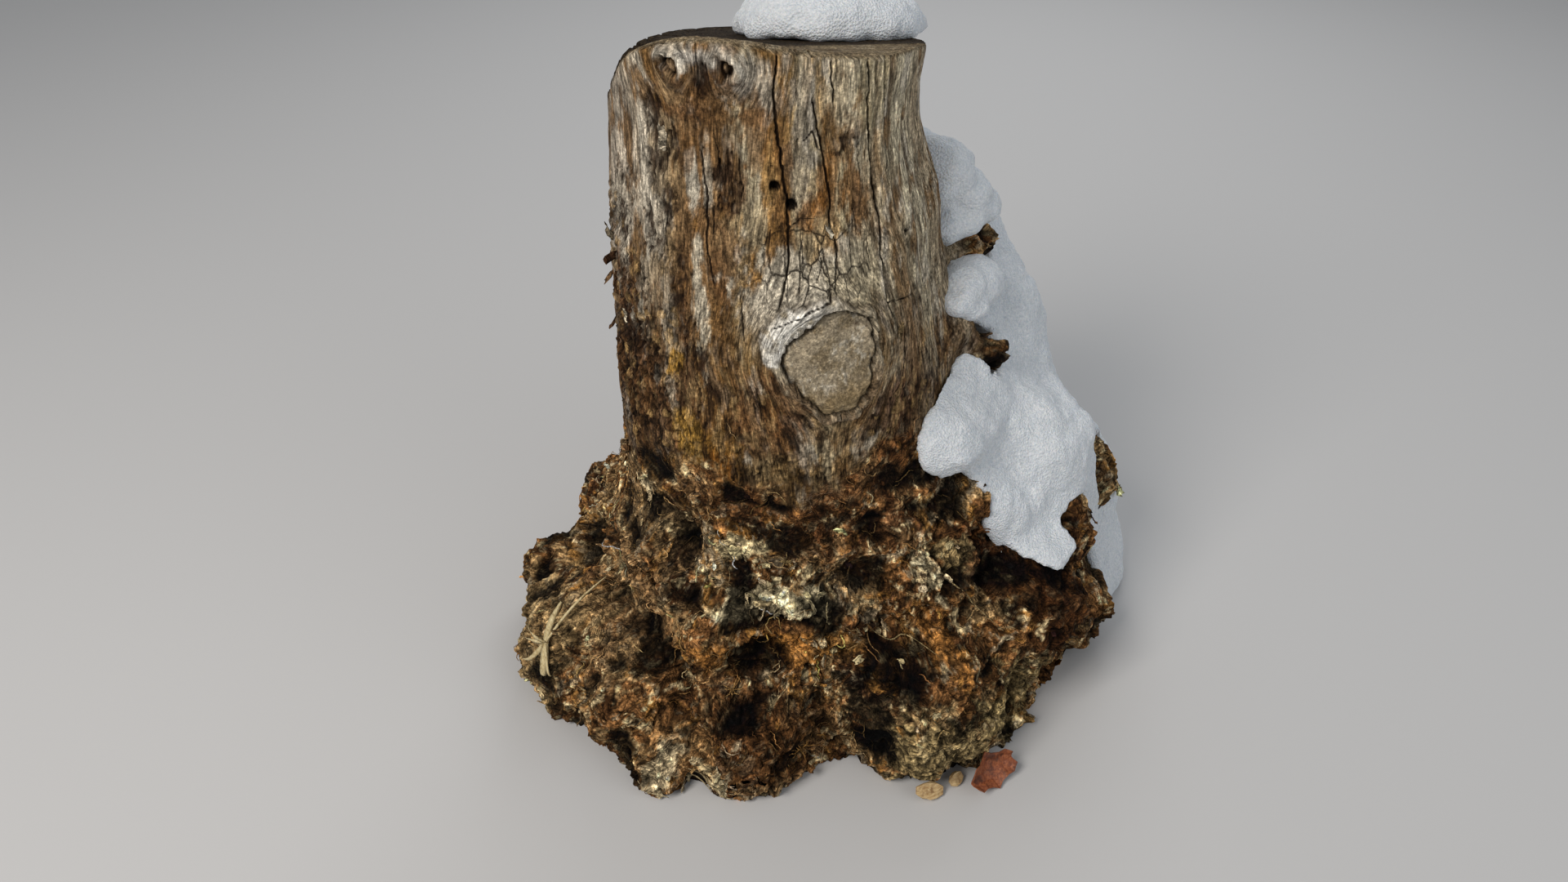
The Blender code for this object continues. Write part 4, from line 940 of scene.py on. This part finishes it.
snow_tree = solid_tree("snow_drift")
side_rows = len(side_shares)
along_share = np.linspace(0.0, 1.0, STEPS_ALONG)
across_share = np.linspace(-1.0, 1.0, STEPS_ACROSS)


def grid_place(at_azimuth, at_height):
    """The row and column of the wood's grid nearest to a place."""
    column = int(np.argmin(np.abs((azimuths - at_azimuth + 180.0) % 360.0 - 180.0)))
    return int(np.argmin(np.abs(height[:side_rows, column] - at_height))), column


def under_snow(point):
    away = Vector((float(point[0]), float(point[1]), 0.0)).normalized() + Vector((0.0, 0.0, 0.35))
    return snow_tree.ray_cast(Vector(point), away.normalized(), 0.12)[0] is not None


def curled_sheet(row, column, length, width, turn, lift, curl):
    """A thin sheet's front and back points, in rows away from the end that holds on to the wood."""
    away = surface_normals[row, column]
    level = np.cross((0.0, 0.0, 1.0), away)
    level /= max(np.linalg.norm(level), 1e-9)
    up = np.cross(away, level)
    out = level * math.cos(turn) + up * math.sin(turn)
    beside = np.cross(away, out)
    bend = lift + curl * along_share
    step = length / (STEPS_ALONG - 1)
    forward = np.concatenate(((0.0,), np.cumsum(np.cos((bend[1:] + bend[:-1]) / 2)))) * step - 0.25 * length
    rise = np.concatenate(((0.0,), np.cumsum(np.sin((bend[1:] + bend[:-1]) / 2)))) * step - FLAKE_SUNK
    half = width / 2 * (0.55 + 0.45 * np.sin(np.pi * (0.10 + 0.80 * along_share)))
    half = half[:, None] * (1.0 + random.uniform(-0.22, 0.22, (STEPS_ALONG, STEPS_ACROSS)))
    rise = rise[:, None] + random.uniform(-0.1, 0.25) * width * across_share**2
    forward = forward[:, None] + random.uniform(-0.09, 0.09, (STEPS_ALONG, STEPS_ACROSS)) * length
    front = out * forward[..., None] + beside * (half * across_share)[..., None] + away * rise[..., None]
    facing = away * np.cos(bend)[:, None] - out * np.sin(bend)[:, None]
    back = front - facing[:, None, :] * FLAKE_THICKNESS
    held = surface[row, column]
    return held + front / 1000.0, held + back / 1000.0


def sheet_faces(first):
    """The faces of one closed sheet whose points start at a number."""
    number = first + np.arange(STEPS_ALONG * STEPS_ACROSS).reshape(STEPS_ALONG, STEPS_ACROSS)
    behind = number + STEPS_ALONG * STEPS_ACROSS
    a, b, c, d = number[:-1, :-1], number[1:, :-1], number[1:, 1:], number[:-1, 1:]
    front = np.stack((a, b, c, d), axis=-1).reshape(-1, 4)
    back = (front + STEPS_ALONG * STEPS_ACROSS)[:, ::-1]
    edge = np.concatenate((number[0, :-1], number[:-1, -1], number[-1, :0:-1], number[:0:-1, 0]))
    edge_behind = np.concatenate((behind[0, :-1], behind[:-1, -1], behind[-1, :0:-1], behind[:0:-1, 0]))
    rim = np.stack((edge, np.roll(edge, -1), np.roll(edge_behind, -1), edge_behind), axis=-1)
    return np.concatenate((front, back, rim)).tolist()


def put_loose(name, points, faces, tones, curly_share):
    """Puts loose bits of the stump's wood into the scene, with their own tones and no cracks."""
    points = np.clip(np.concatenate(points), low, high)
    own_values = {"tone": tones, "flow": points, "curly": np.full(len(points), curly_share),
                  "crack": np.full(len(points), FAR), "blocks": np.zeros(len(points))}
    grown(new_object(name, points, faces, own_values, wood_material), "stump_wood")


flake_points, flake_faces, flake_tones = [], [], []


def add_flake(row, column, length, width, turn, lift, curl, colour):
    front, back = curled_sheet(row, column, length, width, turn, lift, curl)
    flake_faces.extend(sheet_faces(len(flake_points) * front.size * 2 // 3))
    flake_points.append(np.concatenate((front, back)).reshape(-1, 3))
    # Painted shade: each flake is darker towards the end that holds on to the wood, and its back is a darker
    # copy of its front
    shade_towards_root = (0.42 + 0.78 * along_share)[:, None, None] * np.ones((1, STEPS_ACROSS, 1))
    flake_tones.append(np.concatenate((colour * shade_towards_root, colour * shade_towards_root * 0.7)).reshape(-1, 3))


random = np.random.default_rng(21)
placed = 0
while placed < FLAKES:
    row, column = random.integers(3, side_rows - 1), random.integers(COLUMNS)
    if curly[row, column] < 0.6 or random.random() > 0.25 + relief[row, column] / 8.0:
        continue
    if (azimuths[column] < 120 or azimuths[column] > 318) and under_snow(surface[row, column]):
        continue
    long = random.uniform(5.0, 9.0) * random.uniform(0.9, 1.9)
    lift, curl = random.uniform(0.05, 0.55), random.uniform(-0.6, 1.8)
    brighter = math.exp(random.normal(0.25, 0.45))
    add_flake(row, column, long, long * random.uniform(0.3, 0.7), random.uniform(0, 2 * math.pi), lift, curl,
              np.clip(tone[row, column] * brighter, 0.01, 0.7))
    placed += 1
for at, z, spread_mm, count, long in PALE_FLAKES:
    for _ in range(count):
        sideways = math.degrees(random.normal(0, spread_mm) / 230.0)
        row, column = grid_place(at + sideways, z + random.normal(0, spread_mm) / 1300.0)
        pale = linear(PALE_WOOD) * random.uniform(0.6, 1.1)
        pale = pale * (1.0, random.uniform(0.9, 1.0), random.uniform(0.8, 1.0))
        length = long * random.uniform(0.6, 1.3)
        add_flake(row, column, length, length * random.uniform(0.4, 0.8), random.uniform(0, 2 * math.pi),
                  random.uniform(0.05, 0.45), random.uniform(-0.5, 1.3), pale)
for at, z, length, width, turn, lift, curl, colour in HANGING:
    row, column = grid_place(at, z)
    add_flake(row, column, length, width, math.radians(turn), lift, curl, linear(colour))
put_loose("burl_flakes", flake_points, flake_faces, np.concatenate(flake_tones), 1.0)

# The burl's fibres and rootlets
# Single fibres and thin roots, 1 to 2 mm thick, that have come loose and lie curled over the burl.
FIBRES = 340
FIBRE_TAN = "#9a7c4c"
ROOTLETS = (  # radius in mm, how far it stands off, colour, and its places as (azimuth, height)
    (0.9, 3.0, "#a58f66", ((310.5, 0.214), (313.0, 0.200), (316.7, 0.174), (318.0, 0.160), (320.8, 0.136))),
    (0.8, 2.5, "#b7a47c", ((247.0, 0.028), (249.5, 0.016), (251.5, 0.006), (254.5, 0.003))),
    (0.8, 3.0, "#bca982", ((249.0, 0.034), (252.0, 0.022), (253.5, 0.010), (257.5, 0.012), (259.0, 0.020))),
    (0.7, 3.0, "#b7a47c", ((252.5, 0.020), (256.0, 0.006), (259.5, 0.004))),
    (0.8, 3.0, "#c0b08a", ((240.0, 0.012), (243.0, 0.006), (246.5, 0.010))),
    (0.8, 2.0, "#9c8860", ((292.0, 0.160), (296.0, 0.150), (300.0, 0.156), (304.0, 0.146))),
)
STARS = (  # azimuth, height, fibres, length and colour of each tuft
    (273.4, 0.040, 15, 15.0, "#a67c46"), (269.5, 0.236, 9, 10.0, "#9a8358"),
    (300.5, 0.160, 8, 11.0, "#8d6b3f"), (256.5, 0.105, 8, 12.0, "#a8834f"),
)
FIBRE_SIDES = 4
fibre_points, fibre_faces, fibre_tones = [], [], []


def surface_between(row, column):
    """The wood's surface and its normal between four of the grid's points."""
    row = min(max(row, 0.0), side_rows - 1.001)
    r, c = int(row), int(math.floor(column))
    over_r, over_c = row - r, column - c
    total = []
    for grid in (surface, surface_normals):
        near = grid[r, c % COLUMNS] * (1 - over_c) + grid[r, (c + 1) % COLUMNS] * over_c
        far = grid[r + 1, c % COLUMNS] * (1 - over_c) + grid[r + 1, (c + 1) % COLUMNS] * over_c
        total.append(near * (1 - over_r) + far * over_r)
    return total[0], total[1] / np.linalg.norm(total[1])


def add_strand(path, away, radius, colour):
    """A thin round strand through points, pointed at both ends."""
    path = np.array(path)
    along = np.gradient(path, axis=0)
    along /= np.maximum(np.linalg.norm(along, axis=1, keepdims=True), 1e-9)
    beside = np.cross(along, away)
    beside /= np.maximum(np.linalg.norm(beside, axis=1, keepdims=True), 1e-9)
    over = np.cross(beside, along)
    share = np.linspace(0, 1, len(path))
    thick = radius / 1000.0 * (0.25 + 0.75 * np.sin(np.pi * (0.06 + 0.88 * share)))
    first = sum(len(p) for p in fibre_points)
    rings = []
    for n in range(FIBRE_SIDES):
        turn = 2 * math.pi * n / FIBRE_SIDES
        rings.append(path + (beside * math.cos(turn) + over * math.sin(turn)) * thick[:, None])
    rings = np.stack(rings, axis=1)
    number = first + np.arange(len(path) * FIBRE_SIDES).reshape(len(path), FIBRE_SIDES)
    fibre_faces.extend(wall_faces(number))
    fibre_faces.extend((number[0, ::-1].tolist(), number[-1].tolist()))
    fibre_points.append(rings.reshape(-1, 3))
    colour = linear(colour) if isinstance(colour, str) else colour
    fibre_tones.append(np.broadcast_to(colour, (rings.size // 3, 3)))


def wandering_strand(row, column, length, heading, wander, arch, radius, colour):
    """A strand that wanders over the surface from a place on its grid."""
    steps = 9
    path, away = [], []
    for n in range(steps):
        point, normal = surface_between(row, column)
        lift = radius * 0.5 + arch * math.sin(math.pi * n / (steps - 1))
        path.append(point + normal * lift / 1000.0)
        away.append(normal)
        r, c = min(int(row), side_rows - 2), int(column) % COLUMNS
        row_mm = max(np.linalg.norm(base[r + 1, c] - base[r, c]) * 1000.0, 0.5)
        column_mm = max(np.linalg.norm(base[r, (c + 1) % COLUMNS] - base[r, c]) * 1000.0, 0.5)
        row += math.sin(heading) * length / (steps - 1) / row_mm
        column += math.cos(heading) * length / (steps - 1) / column_mm
        row = min(max(row, 0.0), side_rows - 2.0)
        heading += random.normal(0, wander)
    add_strand(path, np.array(away), radius, colour)


random = np.random.default_rng(33)
placed = 0
while placed < FIBRES:
    row, column = random.integers(3, side_rows - 1), random.integers(COLUMNS)
    if curly[row, column] < 0.5 or azimuths[column] < 120 or azimuths[column] > 325:
        continue
    pale = tone[row, column] * random.uniform(1.0, 2.2) + linear(FIBRE_TAN) * random.uniform(0.0, 0.5)
    pale = np.clip(pale, 0, 0.6)
    wandering_strand(row, column, random.uniform(10, 28), random.uniform(0, 2 * math.pi), 0.45,
                     random.uniform(0.3, 4.0), random.uniform(0.35, 0.75), pale)
    placed += 1
for radius, arch, colour, places in ROOTLETS:
    path, away = [], []
    for n, (start, end) in enumerate(zip(places, places[1:])):
        for share in np.linspace(0, 1, 5)[:4 + (n == len(places) - 2)]:
            at, z = (a + (b - a) * share for a, b in zip(start, end))
            point, normal = surface_between(*grid_place(at, z))
            path.append(point + normal * arch / 1000.0)
            away.append(normal)
    smoothed = np.array(path)
    for _ in range(3):
        smoothed[1:-1] = (smoothed[:-2] + smoothed[1:-1] + smoothed[2:]) / 3
    add_strand(smoothed, np.array(away), radius, colour)
for at, z, count, length, colour in STARS:
    row, column = grid_place(at, z)
    for n in range(count):
        heading = 2 * math.pi * (n + random.uniform(-0.3, 0.3)) / count
        wandering_strand(row, column, length * random.uniform(0.6, 1.2), heading, 0.15, 2.2, 0.55, colour)
put_loose("burl_fibres", fibre_points, fibre_faces, np.clip(np.concatenate(fibre_tones), 0.005, 0.8), 0.0)

# Snow
# Settled snow, granular and pillowy, on the right flank and on the back half of the cut.
# It scatters light inside, and its grains make a dull, rough skin. Its pale blue-grey between the grains is
# painted shade.
SNOW_SHADE_BLUE = "#c9d2da"
SNOW_WHITE = "#eef1f4"
SNOW_CLUMP = 14.0  # millimetres, as the next two
SNOW_GRAIN = 3.2
SNOW_CRYSTAL = 2.2
SNOW_MESH = 0.0035
SNOW_SETTLE = 14  # passes that round the solid's facets
SNOW_ON_SPURS = (  # place, radius and flatness of the lumps that lie on the two bare spurs
    (0.160, 0.020, 0.494, 0.024, 0.7), (0.176, 0.036, 0.496, 0.026, 0.7), (0.196, 0.056, 0.500, 0.026, 0.6),
    (0.170, 0.050, 0.515, 0.036, 0.8), (0.186, 0.064, 0.490, 0.030, 0.8), (0.150, 0.040, 0.540, 0.036, 1.0),
    (0.172, -0.030, 0.436, 0.020, 0.7), (0.186, -0.018, 0.424, 0.020, 0.6),
    (0.176, -0.004, 0.440, 0.028, 0.8), (0.190, 0.020, 0.430, 0.034, 0.9),
)
snow_material, tree, shader = new_material("settled_snow", 0.66)
snow_place = node(tree, "TexCoord", out="Object")
clumps = node(tree, "TexNoise", {"Vector": snow_place, "Scale": per_metre(SNOW_CLUMP), "Detail": 3.0})
grains = node(tree, "TexNoise", {"Vector": snow_place, "Scale": per_metre(SNOW_GRAIN), "Detail": 6.0,
                                 "Roughness": 0.75})
crystals = node(tree, "TexVoronoi", {"Vector": snow_place, "Scale": per_metre(SNOW_CRYSTAL)}, out="Distance")
# Painted light and shade: the grains' tops are white and the hollows between them a painted blue-grey shade
grain_painted_light = node(tree, "MapRange", {0: grains, 1: 0.35, 2: 0.65, 3: 0.0, 4: 1.0})
snow_colour = node(tree, "Mix", {0: grain_painted_light, 6: colour4(SNOW_SHADE_BLUE), 7: colour4(SNOW_WHITE)}, out=2,
                   data_type="RGBA")
tree.links.new(snow_colour, shader.inputs["Base Color"])
shader.inputs["Specular IOR Level"].default_value = 0.35
shader.inputs["Subsurface Weight"].default_value = 0.12
shader.inputs["Subsurface Radius"].default_value = (0.004, 0.006, 0.009)
snow_height = node(tree, "Math", {0: grains, 1: clumps}, operation="ADD")
snow_height = node(tree, "Math", {0: snow_height, 1: crystals}, operation="ADD")
snow_bump = node(tree, "Bump", {"Height": snow_height, "Strength": 0.7, "Distance": 0.0022})
tree.links.new(snow_bump, shader.inputs["Normal"])


def reworked(name, data, kind, **settings):
    """The points, edges and faces of a mesh once a modifier has worked on it."""
    copy = bpy.data.objects.new(name, data)
    bpy.context.scene.collection.objects.link(copy)
    modifier = copy.modifiers.new("rework", kind)
    for key, value in settings.items():
        setattr(modifier, key, value)
    made = bpy.data.meshes.new_from_object(copy.evaluated_get(bpy.context.evaluated_depsgraph_get()))
    bpy.data.objects.remove(copy)
    points = np.zeros(len(made.vertices) * 3)
    made.vertices.foreach_get("co", points)
    edges = np.zeros(len(made.edges) * 2, dtype=np.int64)
    made.edges.foreach_get("vertices", edges)
    faces = [tuple(p.vertices) for p in made.polygons]
    bpy.data.meshes.remove(made)
    return points.reshape(-1, 3), edges.reshape(-1, 2), faces


def evenly_meshed(solid, name, size, lumps):
    """An even, fine mesh of a solid joined with flat lumps, with no corner sharper than its size."""
    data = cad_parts[solid].data.copy()
    body = bmesh.new()
    body.from_mesh(data)
    for x, y, z, radius, flat in lumps:
        squashed = Matrix.Translation((x, y, z)) @ Matrix.Diagonal((1.0, 1.0, flat, 1.0))
        bmesh.ops.create_icosphere(body, subdivisions=3, radius=radius, matrix=squashed)
    body.to_mesh(data)
    body.free()
    return reworked(name, data, "REMESH", mode="VOXEL", voxel_size=size)


def drawn_together(points, edges, times_over):
    """The points moved halfway to the middle of their neighbours, again and again."""
    count = np.bincount(edges.ravel(), minlength=len(points))[:, None]
    for _ in range(times_over):
        total = np.zeros(points.shape)
        np.add.at(total, edges[:, 0], points[edges[:, 1]])
        np.add.at(total, edges[:, 1], points[edges[:, 0]])
        points = points + 0.5 * (total / count - points)
    return points


def point_normals(points, faces):
    quads = np.array([f if len(f) == 4 else (*f, f[0]) for f in faces])
    corners = points[quads]
    face_normal = np.cross(corners[:, 2] - corners[:, 0], corners[:, 3] - corners[:, 1])
    total = np.zeros(points.shape)
    for n in range(4):
        np.add.at(total, quads[:, n], face_normal)
    return total / np.maximum(np.linalg.norm(total, axis=1, keepdims=True), 1e-12)


for solid, name, lumps in (("snow_drift", "settled_drift", SNOW_ON_SPURS), ("snow_cap", "settled_cap", ())):
    points, edges, faces = evenly_meshed(solid, name, SNOW_MESH, lumps)
    points = drawn_together(points, edges, SNOW_SETTLE)
    away = point_normals(points, faces)
    swell = 1.2 + 3.6 * soft_noise(points, 34, 301) + 2.0 * soft_noise(points, 15, 302)
    swell += 0.9 * soft_noise(points, 7.5, 303) + 0.5 * soft_noise(points, 4.0, 304)
    points = points + away * (swell / 1000.0)[:, None]
    points = np.clip(points, low, high)
    points[:, 2] = np.maximum(points[:, 2], 0.0)
    grown(new_object(name, points, faces, {}, snow_material), solid)

# Dry grass, dead leaf and wood chips
# Blades of straw caught on the burl's left, a dry broad leaf and two split chips at its front foot. Straw is
# pale and ribbed along, the leaf red-brown and crumpled, the chips fresh light wood with its grain showing.
GRASS_HUB = (211.5, 0.094)
BLADES = (  # azimuth and height of the tip, width in mm, and how far it arches up and out in mm
    (207.7, 0.125, 8.0, 6, 7), (203.5, 0.070, 6.0, 9, 12), (206.0, 0.052, 8.0, -4, 7),
    (213.0, 0.058, 9.0, -8, 8), (210.5, 0.146, 3.4, 12, 9), (203.8, 0.090, 4.5, 10, 14),
    (215.5, 0.066, 3.0, -8, 9),
)
BLADE_STEPS = 14
BLADE_THICKNESS = 0.5
HUB_STANDS_OFF = 0.006  # metres from the wood to where the blades meet


def dry_fibres(name, pale, mid, dark, size, drawn_out, roughness):
    """A dry fibrous finish: streaks between three colours, drawn out along one direction."""
    made, tree, shader = new_material(name, roughness)
    at = node(tree, "TexCoord", out="Object")
    drawn = node(tree, "Mapping", {0: at, 3: drawn_out})
    streaks = node(tree, "TexNoise", {"Vector": drawn, "Scale": per_metre(size), "Detail": 5.0,
                                      "Roughness": 0.65})
    blotches = node(tree, "TexNoise", {"Vector": at, "Scale": per_metre(size * 5), "Detail": 4.0,
                                       "Roughness": 0.6})
    ramp = node(tree, "ValToRGB", {0: streaks})
    for stop, (place, colour) in enumerate(((0.36, mid), (0.62, pale))):
        ramp.node.color_ramp.elements[stop].position = place
        ramp.node.color_ramp.elements[stop].color = colour4(colour)
    spots = node(tree, "MapRange", {0: blotches, 1: 0.52, 2: 0.68, 3: 0.0, 4: 0.85})
    spotted = node(tree, "Mix", {0: spots, 6: ramp, 7: colour4(dark)}, out=2, data_type="RGBA")
    tree.links.new(spotted, shader.inputs["Base Color"])
    raised = node(tree, "Bump", {"Height": streaks, "Strength": 0.6, "Distance": 0.0006})
    tree.links.new(raised, shader.inputs["Normal"])
    return made


straw = dry_fibres("dry_straw", "#e2d2a6", "#bda672", "#8a7344", 1.4, (1.0, 0.35, 0.35), 0.6)
points, faces = [], []
hub, hub_away = surface_between(*grid_place(*GRASS_HUB))
hub_away = hub_away * (1.0, 1.0, 0.3)
for at, z, width, up_mm, out_mm in BLADES:
    tip = surface_between(*grid_place(at, z))[0] + hub_away * HUB_STANDS_OFF
    start = hub + hub_away * HUB_STANDS_OFF
    share = np.linspace(0.0, 1.0, BLADE_STEPS)[:, None]
    middle = start + (tip - start) * share
    middle = middle + np.sin(np.pi * share) * (hub_away * out_mm + np.array((0.0, 0.0, up_mm))) / 1000.0
    along = np.gradient(middle, axis=0)
    beside = np.cross(along, hub_away)
    beside /= np.linalg.norm(beside, axis=1, keepdims=True)
    half = width / 2000.0 * (0.30 + 0.70 * np.sin(np.pi * (0.22 + 0.74 * share)))
    fold = hub_away * BLADE_THICKNESS / 1000.0
    ring = np.stack((middle - beside * half, middle + fold, middle + beside * half, middle - fold), axis=1)
    number = len(points) * BLADE_STEPS * 4 + np.arange(BLADE_STEPS * 4).reshape(BLADE_STEPS, 4)
    faces += wall_faces(number)
    faces += [number[0, ::-1].tolist(), number[-1].tolist()]
    points.append(ring.reshape(-1, 3))
points = np.clip(np.concatenate(points), low, high)
grown(new_object("straw_blades", points, faces, {}, straw), "grass_tuft")


def finer(solid, name, crumple, size, way, material):
    """The solid's own form in smaller faces, crumpled one way."""
    found, _, faces = reworked(name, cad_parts[solid].data.copy(), "SUBSURF", subdivision_type="SIMPLE",
                               levels=2, render_levels=2)
    found = found + np.array(way) * (crumple / 1000.0 * rough_noise(found, size, 341, 1.0, 3))[:, None]
    grown(new_object(name, np.clip(found, low, high), faces, {}, material), solid)


leaf = dry_fibres("dry_leaf", "#a05c33", "#6e3319", "#3f1d10", 2.2, (1.0, 1.0, 0.25), 0.55)
chip = dry_fibres("split_softwood", "#d3b888", "#a98655", "#7d5a33", 1.6, (0.2, 0.2, 1.0), 0.75)
finer("dead_leaf", "dry_leaf", 2.0, 14.0, (0.4, -0.5, 0.6), leaf)
finer("wood_chip_1", "split_chip_1", 0.7, 6.0, (0.2, -0.4, 0.8), chip)
finer("wood_chip_2", "split_chip_2", 0.7, 6.0, (0.2, -0.4, 0.8), chip)

# Floor and lights
# A pale studio floor, one broad soft light from the upper left, a fill, and an even surround.
floor_data = bpy.data.meshes.new("floor")
floor_data.from_pydata([(-6, -6, 0), (6, -6, 0), (6, 6, 0), (-6, 6, 0)], [], [(0, 1, 2, 3)])
floor = bpy.data.objects.new("floor", floor_data)
floor.location.z = -0.0005
floor_material, _, shader = new_material("pale_paper", 0.9)
shader.inputs["Base Color"].default_value = colour4("#c4c4c4")
floor_data.materials.append(floor_material)
bpy.context.scene.collection.objects.link(floor)


def soft_light(name, place, size, watts, colour):
    lamp = bpy.data.lights.new(name, "AREA")
    lamp.size = size
    lamp.energy = watts
    lamp.color = linear(colour)
    made = bpy.data.objects.new(name, lamp)
    made.location = place
    made.rotation_euler = (Vector((0.0, 0.0, 0.35)) - Vector(place)).to_track_quat("-Z", "Y").to_euler()
    bpy.context.scene.collection.objects.link(made)


soft_light("key", (-1.6, -1.8, 2.6), 1.3, 74.0, "#fff8f0")
soft_light("fill", (2.2, -1.6, 1.6), 2.4, 19.0, "#f4f4f4")
soft_light("back", (0.6, 2.4, 2.2), 1.8, 24.0, "#ffffff")
world = bpy.data.worlds.new("surround")
world.use_nodes = True
world.node_tree.nodes["Background"].inputs["Color"].default_value = colour4("#dfe3e8")
world.node_tree.nodes["Background"].inputs["Strength"].default_value = 0.36
bpy.context.scene.world = world
bpy.context.scene.view_settings.view_transform = "Standard"
